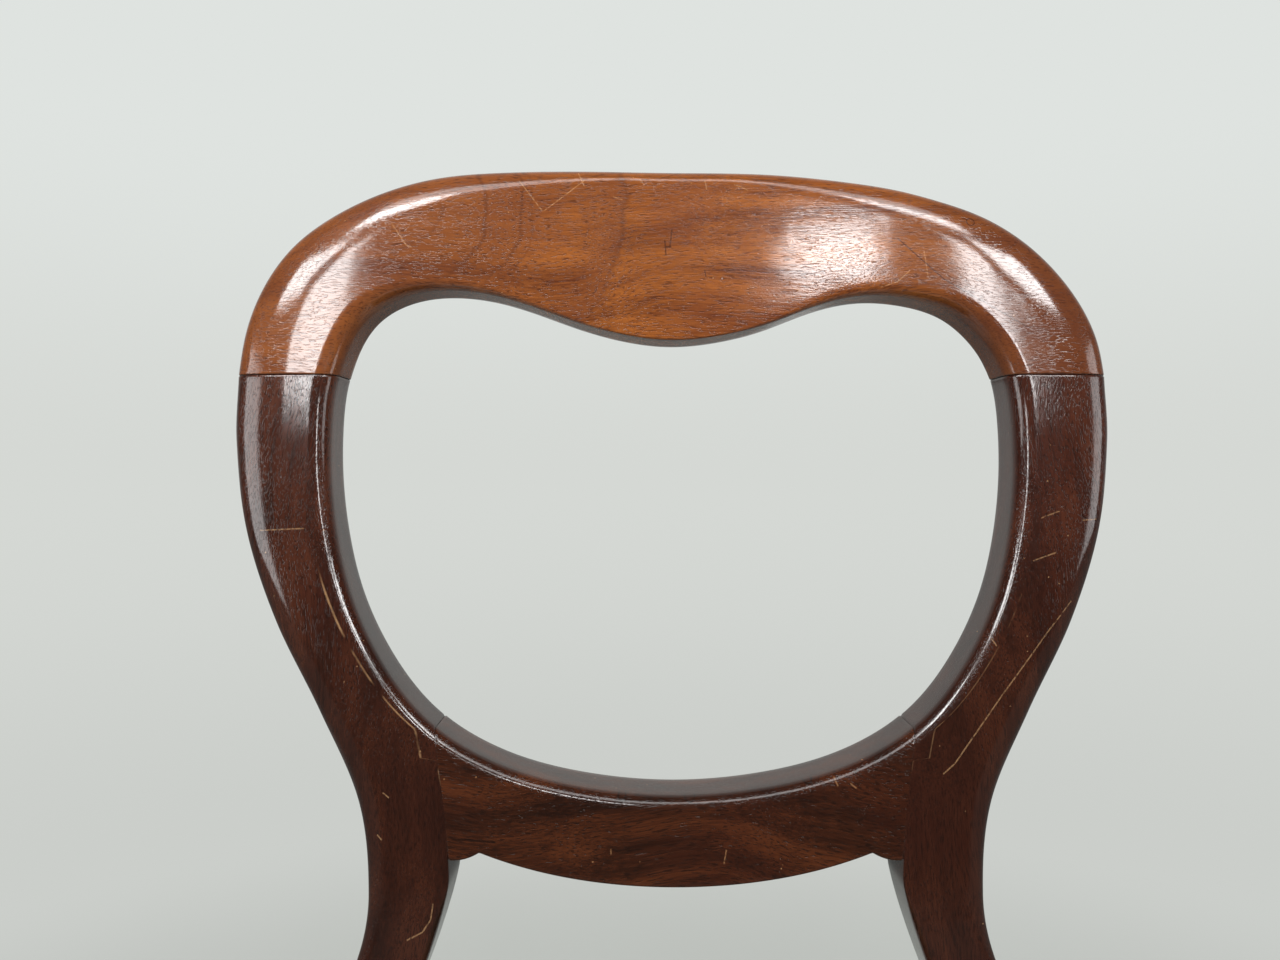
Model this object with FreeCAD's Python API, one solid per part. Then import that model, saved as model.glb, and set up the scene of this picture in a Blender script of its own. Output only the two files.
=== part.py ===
import FreeCAD, Part
import math
import os

# Victorian balloon back dining chair in mahogany with a drop-in seat.
# Millimetres. +X is the sitter's left as seen from the front, the front faces -Y, +Z is up.
# The chair is drawn with y = 0 on the front of the back legs at the seat,
# and at the end it is moved so that the origin lies under the middle of its box.

V = FreeCAD.Vector

# Seat frame
seat_depth = 400.0
front_half_width = 225.0
rear_half_width = 163.5
rail_top = 445.0
rail_height = 60.0
rail_thickness = 26.0
rail_swell = 2.5
rail_bead = 8.0
rail_reveal = 3.0
lip = 14.0
rebate_depth = 14.0
rear_ledge = 12.0
rear_rail_back = 24.0

# Front legs
block_side = 42.0
block_drop = 10.0
block_arris = 2.0
collar_radius = 19.0
swell_radius = 20.5
ankle_radius = 12.0
foot_radius = 15.0
foot_height = 22.0

# Back of the chair
back_thickness = 26.0
crest_joint = 772.0
joint_outer = 211.0
joint_inner = 161.7
back_arris = 2.0
joint_arris = 0.5
joint_gap = 0.15
waist_arris = 3.0
shoulder_round = 26.0
shoulder_round_depth = 9.0
crest_round = 7.0
opening_round_high = 9.0
opening_round_low = 5.0
opening_round_crest = 1.0
crest_hollow = 5.0
crest_hollow_half = 161.0
rail_hollow = 4.0
rail_hollow_half = 97.0

# Joinery
dowel_radius = 4.0
dowel_length = 36.0
dowel_clearance = 0.1
corner_block_leg = 48.0
corner_block_height = 34.0
screw_radius = 2.2
screw_head_radius = 4.4
screw_length = 34.0
screw_slot = 1.0
screw_place = 0.5
screw_head_depth = 19.0
screw_shift = 6.0
seat_dowel_rises = (11.0, 39.0)
rear_dowel_rise = 11.0
cross_dowel_rises = (9.0, 26.0)

# Drop-in seat
seat_clearance = 1.5
cover_thickness = 1.0
calico_thickness = 0.6
hessian_thickness = 1.0
webbing_thickness = 1.4
webbing_width = 50.0
seat_frame_width = 50.0
seat_frame_thickness = 20.0
pad_edge_height = 10.0
pad_crown = 16.0
pad_edge_round = 9.0
turn_under = 20.0
tack_radius = 3.0
tack_head = 0.8
tack_length = 6.0
tack_spacing = 45.0
seat_corner = 8.0
seat_dowel_radius = 4.0
seat_dowel_length = 30.0
long_webbing_pitch = 67.0
cross_webbing_pitch = 78.0
seat_frame_top = rail_top - rebate_depth + cover_thickness + seat_frame_thickness

# Lower edge of the cross rail: a long bow between two cusps, and a small lobe beyond each
rail_cusp_half = 84.0
rail_cusp_height = 562.0
rail_bow_drop = 15.0
rail_lobe_drop = 2.8
rail_lobe_belly = 0.9

# Outline of the back as (height, half width) on each back leg
leg_outer = [(0, 170), (200, 168), (385, 168), (440, 163.5), (480, 150), (521, 134), (544.5, 131.5),
             (580.5, 138.6), (617.9, 159.1), (657, 182.8), (697.8, 200.3), (740.5, 209.2),
             (crest_joint, joint_outer)]
leg_inner = [(0, 142), (200, 138), (385, 134), (440, 130.5), (480, 119), (521, 104), (547.7, 96.7),
             (559, 97), (582, 99.7), (616, 107.5), (690, 128), (crest_joint, 150)]

# Side view of the back legs, as (height, distance back)
leg_front = [(0, 78), (100, 46), (200, 22), (300, 6), (385, 0), (440, 0), (500, 6), (545, 15),
             (724, 55), (880, 86)]
leg_thickness = [(0, 30), (200, 34), (385, 38), (440, 38), (500, 31), (560, back_thickness),
                 (880, back_thickness)]

# Width of the soft rounding on the outer edge of the back legs, as (height, width)
outer_round = [(0, 5), (385, 5), (460, 5), (545, 9), (600, 16), (680, 23),
               (crest_joint, shoulder_round)]
outer_round_depth = [(0, 4), (385, 4), (460, 4), (545, 6), (600, 8), (680, 9),
                     (crest_joint, shoulder_round_depth)]
opening_round = [(rail_cusp_height + 20, opening_round_low), (rail_cusp_height + 78, opening_round_low + 1),
                 (crest_joint, opening_round_high)]
inner_round = [(0, waist_arris), (530, waist_arris), (552, joint_arris), (crest_joint, joint_arris)]

# Hollow of the balloon, lower half, as (half width, share of the way from the cusps to the crest joint)
opening_shares = [(0, 0.09714), (43, 0.11714), (69.7, 0.14952), (86.6, 0.1819), (108.8, 0.24619),
                  (132.9, 0.37476), (148, 0.50667), (157, 0.64238), (161.6, 0.7619), (163.4, 0.88571),
                  (joint_inner, 1)]
cusp_to_joint = crest_joint - rail_cusp_height
opening_low = [(x, rail_cusp_height + share * cusp_to_joint) for x, share in opening_shares]

# Heights of the level sections that a back leg is drawn through
leg_sections = [0, 50, 100, 150, 200, 250, 300, 345, 385, 412, 440, 460, 480, 500, 521, 535, 548, 562, 580,
                598, 617, 637, 657, 677, 697, 718, 740, 756, crest_joint]

# Crest rail, (x, height) from the left joint to the right joint; the right shoulder hangs lower
crest_outer = [(-joint_outer, crest_joint), (-209.5, 792.6), (-203.1, 815.7), (-188.5, 839.3),
               (-170.1, 854.5), (-147, 866.6), (-117.4, 875.4), (-87, 878.5), (-50.7, 879.6),
               (-0.3, 879.1), (51.9, 877.7), (87.9, 873.6), (116.9, 868.3), (136.5, 862.5), (156, 855),
               (179.5, 839.3), (193.6, 823.5), (203, 807.9), (209.6, 788), (joint_outer, crest_joint)]
crest_inner = [(-joint_inner, crest_joint), (-157.2, 787.5), (-148.8, 801.4), (-129, 812.8),
               (-108.6, 815.1), (-87.9, 812.5), (-67, 806.2), (-46.3, 798.7), (-25.6, 792.9),
               (-0.3, 789.7), (25.9, 792.3), (46.6, 797.6), (67.4, 805.6), (88.3, 811.4),
               (103.3, 812.5), (119.1, 810.7), (139, 803.6), (150, 794), (157.8, 782.3),
               (joint_inner, crest_joint)]
crest_pivot_left = -119.0
crest_pivot_right = 112.0
fan_steps = 7
crest_steps = 13
shoulder_start = 0.15
shoulder_power = 1.5
cutter_steps = 26
cutter_reach = 32.0
cutter_clear = 8.0
cutter_lead = 1.5


def smooth(points):
    """A smooth curve through (place, value) points, level with its neighbours' slope at each."""
    def value(place):
        last = len(points) - 1
        place = min(max(place, points[0][0]), points[last][0])
        span = 0
        while span < last - 1 and place > points[span + 1][0]:
            span += 1

        def slope(index):
            before = points[max(index - 1, 0)]
            after = points[min(index + 1, last)]
            return (after[1] - before[1]) / (after[0] - before[0])
        start, end = points[span], points[span + 1]
        width = end[0] - start[0]
        t = (place - start[0]) / width
        return ((2 * t ** 3 - 3 * t ** 2 + 1) * start[1] + (t ** 3 - 2 * t ** 2 + t) * width * slope(span)
                + (3 * t ** 2 - 2 * t ** 3) * end[1] + (t ** 3 - t ** 2) * width * slope(span + 1))
    return value


half_outer = smooth(leg_outer)
half_inner = smooth(leg_inner)
front_at = smooth(leg_front)
thickness_at = smooth(leg_thickness)
round_at = smooth(outer_round)
round_depth_at = smooth(outer_round_depth)
inner_round_at = smooth(inner_round)
opening_round_at = smooth(opening_round)


def hollow(x, half, depth):
    """Set-back of a bowed face at x: nothing beyond half, the full depth in the middle."""
    if abs(x) >= half:
        return 0.0
    return depth * math.cos(math.pi / 2 * x / half) ** 2


def box(x0, x1, y0, y1, z0, z1):
    return Part.makeBox(x1 - x0, y1 - y0, z1 - z0, V(x0, y0, z0))


def polygon_prism(points, direction):
    """A prism over a closed run of points."""
    return Part.Face(Part.makePolygon(points + [points[0]])).extrude(direction)


def spline_edge(points):
    curve = Part.BSplineCurve()
    curve.interpolate(points)
    return curve.toShape()


def corner_curve(start, corner, end):
    """A rounded corner, close to an ellipse's quarter, from start round the corner to end."""
    pull = 0.55
    curve = Part.BezierCurve()
    curve.setPoles([start, start + (corner - start) * pull, end + (corner - end) * pull, end])
    return curve.toShape()


def hoop_section(outer, inner, face, thickness, outer_size, inner_size):
    """Section across the back from its outer edge to its inner edge, both (x, z).
    face gives the front's distance back; each size is (width, depth) of a front rounding."""
    run = V(inner[0] - outer[0], 0, inner[1] - outer[1])
    width = run.Length
    run.normalize()

    def at(along, back):
        x = outer[0] + run.x * along
        z = outer[1] + run.z * along
        return V(x, face(x, z) + back, z)
    outer_wall = at(0, outer_size[1])
    front_start = at(outer_size[0], 0)
    front_end = at(width - inner_size[0], 0)
    inner_wall = at(width, inner_size[1])
    inner_low = at(width, thickness - back_arris)
    back_start = at(width - back_arris, thickness)
    back_end = at(back_arris, thickness)
    outer_low = at(0, thickness - back_arris)
    edges = [corner_curve(outer_wall, at(0, 0), front_start),
             Part.makeLine(front_start, front_end),
             corner_curve(front_end, at(width, 0), inner_wall),
             Part.makeLine(inner_wall, inner_low),
             corner_curve(inner_low, at(width, thickness), back_start),
             Part.makeLine(back_start, back_end),
             corner_curve(back_end, at(0, thickness), outer_low),
             Part.makeLine(outer_low, outer_wall)]
    return Part.Wire(edges)


def opening_cutter():
    """What the balloon's lower hollow takes away, with the rounding of its front edge.
    Each section lies square to the hollow's edge, a is the distance into the wood."""
    rise = crest_inner[-2]
    half = opening_low + [(rise[0], 2 * crest_joint - rise[1] + 2 * (rise[1] - crest_joint))]
    points = [V(-x, 0, z) for x, z in reversed(half)] + [V(x, 0, z) for x, z in half[1:]]
    curve = spline_edge(points).Curve
    first, last = curve.FirstParameter, curve.LastParameter
    sections = []
    for step in range(cutter_steps + 1):
        place = first + (last - first) * step / cutter_steps
        point = curve.value(place)
        along = curve.tangent(place)[0]
        out = V(along.z, 0, -along.x)
        size = opening_round_at(point.z)
        face = front_at(point.z) + hollow(point.x, rail_hollow_half, rail_hollow)
        base = V(point.x, face, point.z)

        def at(a, back):
            return base + out * a + V(0, back, 0)
        start = at(size + cutter_lead, -cutter_lead / 2)
        wall = at(0, size)
        behind = back_thickness + cutter_clear
        corners = [wall, at(0, behind), at(-cutter_reach, behind), at(-cutter_reach, -cutter_clear),
                   at(size + cutter_lead, -cutter_clear), start]
        edges = [corner_curve(start, at(0, 0), wall)]
        for low, high in zip(corners, corners[1:]):
            edges.append(Part.makeLine(low, high))
        sections.append(Part.Wire(edges))
    return Part.makeLoft(sections, True, False)


def back_leg(cutter):
    """The right back leg, stile and sabre leg in one piece, before its dowel holes."""
    sections = []
    for height in leg_sections:
        sections.append(hoop_section((half_outer(height), height), (half_inner(height), height),
                                     lambda x, z: front_at(z), thickness_at(height),
                                     (round_at(height), round_depth_at(height)),
                                     (inner_round_at(height), inner_round_at(height))))
    leg = Part.makeLoft(sections, True, False)
    return leg.cut(cutter).Solids[0]


def samples(points):
    edge = spline_edge([V(x, 0, z) for x, z in points])
    return edge.discretize(1200)


def where(run, measure, target):
    """The point of a sampled run at which a rising measure reaches the target."""
    for first, second in zip(run, run[1:]):
        low, high = measure(first), measure(second)
        if low <= target <= high:
            share = (target - low) / max(high - low, 1e-9)
            point = first + (second - first) * share
            return (point.x, point.z)
    end = run[-1] if target > measure(run[-1]) else run[0]
    return (end.x, end.z)


def crest_rail():
    """The yoke: sections fan round each shoulder and stand upright between them."""
    outer_run = samples(crest_outer)
    inner_run = samples(crest_inner)

    def face(x, z):
        return front_at(z) + hollow(x, crest_hollow_half, crest_hollow)

    def turn(pivot):
        return lambda point: math.pi - math.atan2(point.z - crest_joint, point.x - pivot)

    places = []
    for step in range(fan_steps):
        places.append((turn(crest_pivot_left), math.pi / 2 * step / fan_steps))
    for step in range(crest_steps + 1):
        share = step / crest_steps
        x = crest_pivot_left + (crest_pivot_right - crest_pivot_left) * share
        places.append((lambda point: point.x, x))
    for step in range(1, fan_steps + 1):
        places.append((turn(crest_pivot_right), math.pi / 2 * (1 + step / fan_steps)))
    sections = []
    for measure, target in places:
        outer = where(outer_run, measure, target)
        inner = where(inner_run, measure, target)
        along = abs(outer[0] + inner[0]) / 2 / crest_hollow_half
        share = min(1.0, max(0.0, (along - shoulder_start) / (1 - shoulder_start)))
        side = share ** shoulder_power
        outer_width = crest_round + (shoulder_round - crest_round) * side
        outer_depth = crest_round + (shoulder_round_depth - crest_round) * side
        edge = opening_round_crest + (opening_round_high - opening_round_crest) * side
        sections.append(hoop_section(outer, inner, face, back_thickness, (outer_width, outer_depth),
                                     (edge, edge)))
    return Part.makeLoft(sections, True, False)


def cross_rail(cutter):
    """The lower rail of the balloon, flush with the stiles, with a cusped lower edge."""
    reach = half_inner(rail_cusp_height + 68) + 1.5
    rows = []
    for column in range(15):
        x = -reach + 2 * reach * column / 14
        rows.append([V(x, front_at(z) + hollow(x, rail_hollow_half, rail_hollow), z)
                     for z in [rail_cusp_height + rise for rise in (-22, -7, 8, 23, 38, 53, 68)]])
    surface = Part.BSplineSurface()
    surface.interpolate(rows)
    slab = surface.toShape().extrude(V(0, back_thickness, 0))
    cusp_x, cusp_z = rail_cusp_half, rail_cusp_height
    low = cusp_z - rail_lobe_drop
    joint = [V(half_inner(low + rise) - joint_gap, 0, low + rise) for rise in (0, 16, 31, 46, 66)]
    bow = Part.Arc(V(-cusp_x, 0, cusp_z), V(0, 0, cusp_z - rail_bow_drop), V(cusp_x, 0, cusp_z)).toShape()
    lobe_x = half_inner(low) - joint_gap
    lobe_mid = V((cusp_x + lobe_x) / 2, 0, low - rail_lobe_belly)
    right_lobe = Part.Arc(V(cusp_x, 0, cusp_z), lobe_mid, V(lobe_x, 0, low)).toShape()
    left_lobe = Part.Arc(V(-lobe_x, 0, low), V(-lobe_mid.x, 0, lobe_mid.z), V(-cusp_x, 0, cusp_z)).toShape()
    right_side = spline_edge(joint)
    left_side = spline_edge([V(-point.x, 0, point.z) for point in joint])
    top = Part.makeLine(V(joint[-1].x, 0, joint[-1].z), V(-joint[-1].x, 0, joint[-1].z))
    wire = Part.Wire(Part.__sortEdges__([bow, right_lobe, right_side, top, left_side, left_lobe]))
    outline = Part.Face(wire)
    outline.translate(V(0, -100, 0))
    rail = slab.common(outline.extrude(V(0, 400, 0))).cut(cutter)
    return rail.Solids[0]


def side_point(distance_back, inset=0.0, height=0.0):
    """A point of the right seat rail's outer line at a distance back, moved inward by inset."""
    start = V(rear_half_width - rail_reveal, 0, 0)
    end = V(front_half_width - rail_reveal, -seat_depth, 0)
    along = (end - start).normalize()
    inward = V(along.y, -along.x, 0)
    base = start + inward * inset
    point = base + along * ((distance_back - base.y) / along.y)
    return V(point.x, point.y, height)


def seat_plan(inset, height):
    """Corners of the seat's outline, inset all round from the pocket in the rails."""
    side = lip + inset
    front = -seat_depth + rail_reveal + lip + inset
    rear = -inset
    front_corner = side_point(front, side, height)
    rear_corner = side_point(rear, side, height)
    return [rear_corner, front_corner, V(-front_corner.x, front, height), V(-rear_corner.x, rear, height)]


def plan_prism(inset, low, high):
    return polygon_prism(seat_plan(inset, low), V(0, 0, high - low))


def upright_edges(solid):
    return [edge for edge in solid.Edges if abs(edge.tangentAt(edge.FirstParameter).z) > 0.9]


def rounded_prism(inset, low, high):
    """The seat's outline with its four corners rounded, all layers about the same centres."""
    body = plan_prism(inset, low, high)
    return body.makeFillet(seat_corner - inset, upright_edges(body))


def rail_prism(start, end, inward):
    """A seat rail: a gently swelling outer face above a small bead, run from start to end."""
    low = rail_top - rail_height

    def at(depth, height):
        return V(start.x, start.y, 0) + inward * depth + V(0, 0, height)
    quirk = rail_swell + 1.5
    edges = [Part.Arc(at(rail_swell, rail_top), at(0, (rail_top + low + rail_bead) / 2),
                      at(rail_swell, low + rail_bead)).toShape(),
             Part.makeLine(at(rail_swell, low + rail_bead), at(quirk, low + rail_bead)),
             Part.Arc(at(quirk, low + rail_bead), at(0.5, low + rail_bead / 2), at(quirk, low)).toShape(),
             Part.makeLine(at(quirk, low), at(rail_thickness, low)),
             Part.makeLine(at(rail_thickness, low), at(rail_thickness, rail_top)),
             Part.makeLine(at(rail_thickness, rail_top), at(rail_swell, rail_top))]
    return Part.Face(Part.Wire(edges)).extrude(end - start)


def front_leg():
    """The right front leg: a square block for the rails above a turned and tapered leg."""
    block_low = rail_top - rail_height - block_drop
    x0, y0 = front_half_width - block_side, -seat_depth
    block = box(x0, front_half_width, y0, y0 + block_side, block_low, rail_top)
    block = block.makeFillet(block_arris, upright_edges(block))
    neck = collar_radius - 4
    outline = [
        [(0, 0), (foot_radius - 2.5, 0)],
        [(foot_radius - 2.5, 0), (foot_radius, foot_height * 0.3), (foot_radius - 0.5, foot_height * 0.7),
         (ankle_radius - 1, foot_height)],
        [(ankle_radius - 1, foot_height), (ankle_radius, foot_height)],
        [(ankle_radius, foot_height), (ankle_radius + 1.5, block_low * 0.27),
         ((ankle_radius + swell_radius) / 2 + 0.5, block_low * 0.54), (swell_radius - 0.7, block_low - 100),
         (swell_radius, block_low - 70), (swell_radius - 2, block_low - 48), (neck, block_low - 32)],
        [(neck, block_low - 32), (neck + 1.5, block_low - 32)],
        [(neck + 1.5, block_low - 32), (neck + 4.5, block_low - 27), (neck + 1.5, block_low - 22)],
        [(neck + 1.5, block_low - 22), (neck, block_low - 22)],
        [(neck, block_low - 22), (neck + 0.8, block_low - 13), (collar_radius, block_low - 6)],
        [(collar_radius, block_low - 6), (collar_radius, block_low + 1)],
        [(collar_radius, block_low + 1), (0, block_low + 1)],
        [(0, block_low + 1), (0, 0)]]
    edges = []
    for run in outline:
        points = [V(r, 0, z) for r, z in run]
        edges.append(Part.makeLine(points[0], points[1]) if len(points) == 2 else spline_edge(points))
    turned = Part.Face(Part.Wire(edges)).revolve(V(0, 0, 0), V(0, 0, 1), 360)
    turned.translate(V(front_half_width - block_side / 2, y0 + block_side / 2, 0))
    return block.fuse(turned).removeSplitter().Solids[0]


def rod(centre, direction, radius, length):
    """A round rod about its middle point."""
    axis = V(direction).normalize()
    return Part.makeCylinder(radius, length, centre - axis * (length / 2), axis)


def screw(head, direction):
    """A slotted countersunk wood screw, from the middle of its head."""
    axis = V(direction).normalize()
    taper = screw_head_radius - screw_radius
    cone = Part.makeCone(screw_head_radius, screw_radius, taper, head, axis)
    shank = Part.makeCylinder(screw_radius, screw_length * 0.75 - taper, head + axis * taper, axis)
    point = Part.makeCone(screw_radius, 0.4, screw_length * 0.25, head + axis * screw_length * 0.75, axis)
    side = axis.cross(V(0, 0, 1))
    slot = Part.makeBox(screw_slot, 4 * screw_head_radius, 2 * screw_slot,
                        V(-screw_slot / 2, -2 * screw_head_radius, -screw_slot))
    slot.Placement = FreeCAD.Placement(head, FreeCAD.Rotation(side, V(0, 0, 1), axis, "ZXY"))
    return cone.fuse([shank, point]).removeSplitter().cut(slot)


def mirrored(shape):
    return shape.mirror(V(0, 0, 0), V(1, 0, 0))


def cut_all(shapes, names, tools):
    for name in names:
        result = shapes[name].cut(tools)
        shapes[name] = result.Solids[0] if len(result.Solids) == 1 else result


def build_back():
    cutter = opening_cutter()
    right = back_leg(cutter)
    left = mirrored(right)
    return {"crest_rail": crest_rail(), "cross_rail": cross_rail(cutter),
            "back_leg_left": left, "back_leg_right": right}


def build_seat_rails(shapes):
    low, high = rail_top - rail_height, rail_top
    ledge = rail_top - rebate_depth
    pocket = plan_prism(0, ledge, high + 1)
    block_inner = front_half_width - block_side
    right_leg = front_leg().cut(pocket)
    shapes["front_leg_left"] = mirrored(right_leg)
    shapes["front_leg_right"] = right_leg
    front_start = V(-block_inner, -seat_depth + rail_reveal, 0)
    front_end = V(block_inner, -seat_depth + rail_reveal, 0)
    shapes["front_seat_rail"] = rail_prism(front_start, front_end, V(0, 1, 0)).cut(pocket)
    rear_point, front_point = side_point(30), side_point(-seat_depth)
    along = (front_point - rear_point).normalize()
    side = rail_prism(rear_point, front_point, V(along.y, -along.x, 0))
    side = side.common(box(0, front_half_width, -seat_depth + block_side, 0, low, high))
    side = side.cut([shapes["back_leg_right"], pocket]).Solids
    side = max(side, key=lambda solid: solid.Volume)
    shapes["side_seat_rail_left"] = mirrored(side)
    shapes["side_seat_rail_right"] = side
    reach = side_point(0, rail_thickness).x + 1.5
    rear = box(-reach, reach, -rear_ledge, rear_rail_back, low, high)
    rear = rear.cut([shapes["back_leg_left"], shapes["back_leg_right"], shapes["side_seat_rail_left"],
                     shapes["side_seat_rail_right"], pocket])
    shapes["rear_seat_rail"] = max(rear.Solids, key=lambda solid: solid.Volume)


def build_corner_blocks(shapes):
    """Glued blocks in the four inner corners, each held to its two rails by a screw."""
    low = rail_top - rail_height + 8
    high = low + corner_block_height
    front_face = -seat_depth + rail_reveal + rail_thickness
    screws = []
    corners = {"front": (front_face, -1), "rear": (-rear_ledge, 1)}
    for name, (face, sign) in corners.items():
        corner = side_point(face, rail_thickness, low)
        away = (side_point(face - sign * 100, rail_thickness, low) - corner).normalize()
        across = V(-1, 0, 0)
        points = [corner, corner + away * corner_block_leg, corner + across * corner_block_leg]
        block = polygon_prism(points, V(0, 0, corner_block_height)).cut(shapes["front_leg_right"])
        block = max(block.Solids, key=lambda solid: solid.Volume)
        mid = (low + high) / 2
        pair = [(across, V(0, sign, 0), mid - screw_shift),
                (away, V(-away.y, away.x, 0) * -sign, mid + screw_shift)]
        for run, into, height in pair:
            into = V(into).normalize()
            foot = V(corner.x, corner.y, height) + run * (corner_block_leg * screw_place)
            head = foot - into * screw_head_depth
            piece = screw(head, into)
            screws.append(piece)
            bore = Part.makeCylinder(screw_head_radius + dowel_clearance, 40, head, into * -1)
            shaft = screw_shaft(head, into)
            block = block.cut([bore, shaft])
            target = "side_seat_rail_right" if run is away else name + "_seat_rail"
            cut_all(shapes, [target], [shaft])
            if run is not away:
                cut_all(shapes, [target], [mirrored(shaft)])
            else:
                cut_all(shapes, ["side_seat_rail_left"], [mirrored(shaft)])
        shapes["corner_block_" + name + "_left"] = mirrored(block)
        shapes["corner_block_" + name + "_right"] = block
    shapes["corner_block_screws"] = Part.makeCompound(screws + [mirrored(piece) for piece in screws])


def screw_shaft(head, direction):
    """The bore that a screw fills."""
    axis = V(direction).normalize()
    taper = screw_head_radius - screw_radius
    cone = Part.makeCone(screw_head_radius, screw_radius, taper, head, axis)
    return cone.fuse(Part.makeCylinder(screw_radius, screw_length, head, axis))


def build_dowels(shapes):
    """Pairs of dowels across each joint, in bores a glue line wider."""
    def add(group, places, direction, names):
        for centre in places:
            for mirror in (False, True):
                pin = rod(centre, direction, dowel_radius, dowel_length)
                bore = rod(centre, direction, dowel_radius + dowel_clearance, dowel_length + 1)
                if mirror:
                    pin, bore = mirrored(pin), mirrored(bore)
                group.append(pin)
                side = "_left" if mirror else "_right"
                cut_all(shapes, [name.replace("_SIDE", side) for name in names], [bore])
    middle = back_thickness / 2
    rake = V(0, front_at(crest_joint + 5) - front_at(crest_joint - 5), 10)
    crest_wide = (half_outer(crest_joint) + opening_low[-1][0]) / 2
    crest_places = [V(crest_wide + shift, front_at(crest_joint) + middle + 1, crest_joint)
                    for shift in (-9, 10)]
    crest_pins, rail_pins, seat_pins = [], [], []
    add(crest_pins, crest_places, rake, ["crest_rail", "back_leg_SIDE"])
    rail_heights = [rail_cusp_height + rise for rise in cross_dowel_rises]
    rail_places = [V(half_inner(z), front_at(z) + middle, z) for z in rail_heights]
    add(rail_pins, rail_places, V(1, 0, 0), ["cross_rail", "back_leg_SIDE"])
    low = rail_top - rail_height
    along = side_point(-seat_depth) - side_point(0)
    for height in [low + rise for rise in seat_dowel_rises]:
        rear_centre = side_point(0, rail_thickness / 2, height)
        front_centre = side_point(-seat_depth + block_side, rail_thickness / 2, height)
        add(seat_pins, [rear_centre], along, ["side_seat_rail_SIDE", "back_leg_SIDE"])
        add(seat_pins, [front_centre], along, ["side_seat_rail_SIDE", "front_leg_SIDE"])
        cross = V(front_half_width - block_side, -seat_depth + rail_reveal + rail_thickness / 2, height)
        add(seat_pins, [cross], V(1, 0, 0), ["front_seat_rail", "front_leg_SIDE"])
        back = V(half_inner(height), rear_rail_back / 2, height + rear_dowel_rise)
        add(seat_pins, [back], V(1, 0, 0), ["rear_seat_rail", "back_leg_SIDE"])
    shapes["crest_dowels"] = Part.makeCompound(crest_pins)
    shapes["cross_rail_dowels"] = Part.makeCompound(rail_pins)
    shapes["seat_rail_dowels"] = Part.makeCompound(seat_pins)


def crowned(inset, low, lowered):
    """The seat's outer form, inset and lowered by a layer's thickness: a crown with rolled edges."""
    rear, front = seat_plan(inset, 0)[0], seat_plan(inset, 0)[1]
    middle_y, half_y = (rear.y + front.y) / 2, (rear.y - front.y) / 2
    edge_z = seat_frame_top + pad_edge_height - lowered
    rows = []
    for column in range(11):
        u = -1.2 + 0.24 * column
        row = []
        for line in range(11):
            v = -1.2 + 0.24 * line
            half_x = (rear.x + front.x) / 2 + (rear.x - front.x) / 2 * v
            bulge = (1 - abs(u) ** 2.4) * (1 - abs(v) ** 2.4)
            if abs(u) > 1 and abs(v) > 1:
                bulge = -bulge
            row.append(V(u * half_x, middle_y + v * half_y, edge_z + pad_crown * bulge))
        rows.append(row)
    surface = Part.BSplineSurface()
    surface.interpolate(rows)
    under = surface.toShape().extrude(V(0, 0, -120))
    body = rounded_prism(inset, low, edge_z + pad_crown + 5).common(under).Solids[0]
    top = []
    for edge in body.Edges:
        middle = edge.valueAt((edge.FirstParameter + edge.LastParameter) / 2)
        if min(edge.Vertexes[0].Z, edge.Vertexes[-1].Z, middle.z) > edge_z - 8:
            top.append(edge)
    return body.makeFillet(pad_edge_round - lowered, top)


def strip(low_point, high_point, width_way, crossings, first_over):
    """A webbing strip from one rail to the other, over and under the strips that it crosses."""
    run = high_point - low_point
    length = run.Length
    run.normalize()
    swing = (webbing_thickness + 0.1) / 2
    plateau = webbing_width / 2 + 2
    ease = 12
    path = [(0, 0), (crossings[0] - plateau - ease, 0)]
    over = first_over
    for crossing in crossings:
        height = swing if over else -swing
        path += [(crossing - plateau, height), (crossing + plateau, height)]
        over = not over
    path += [(crossings[-1] + plateau + ease, 0), (length, 0)]
    half = webbing_thickness / 2
    start = low_point - width_way * (webbing_width / 2)
    upper = [start + run * place + V(0, 0, height + half) for place, height in path]
    lower = [start + run * place + V(0, 0, height - half) for place, height in path]
    return polygon_prism(upper + lower[::-1], width_way * webbing_width)


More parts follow.
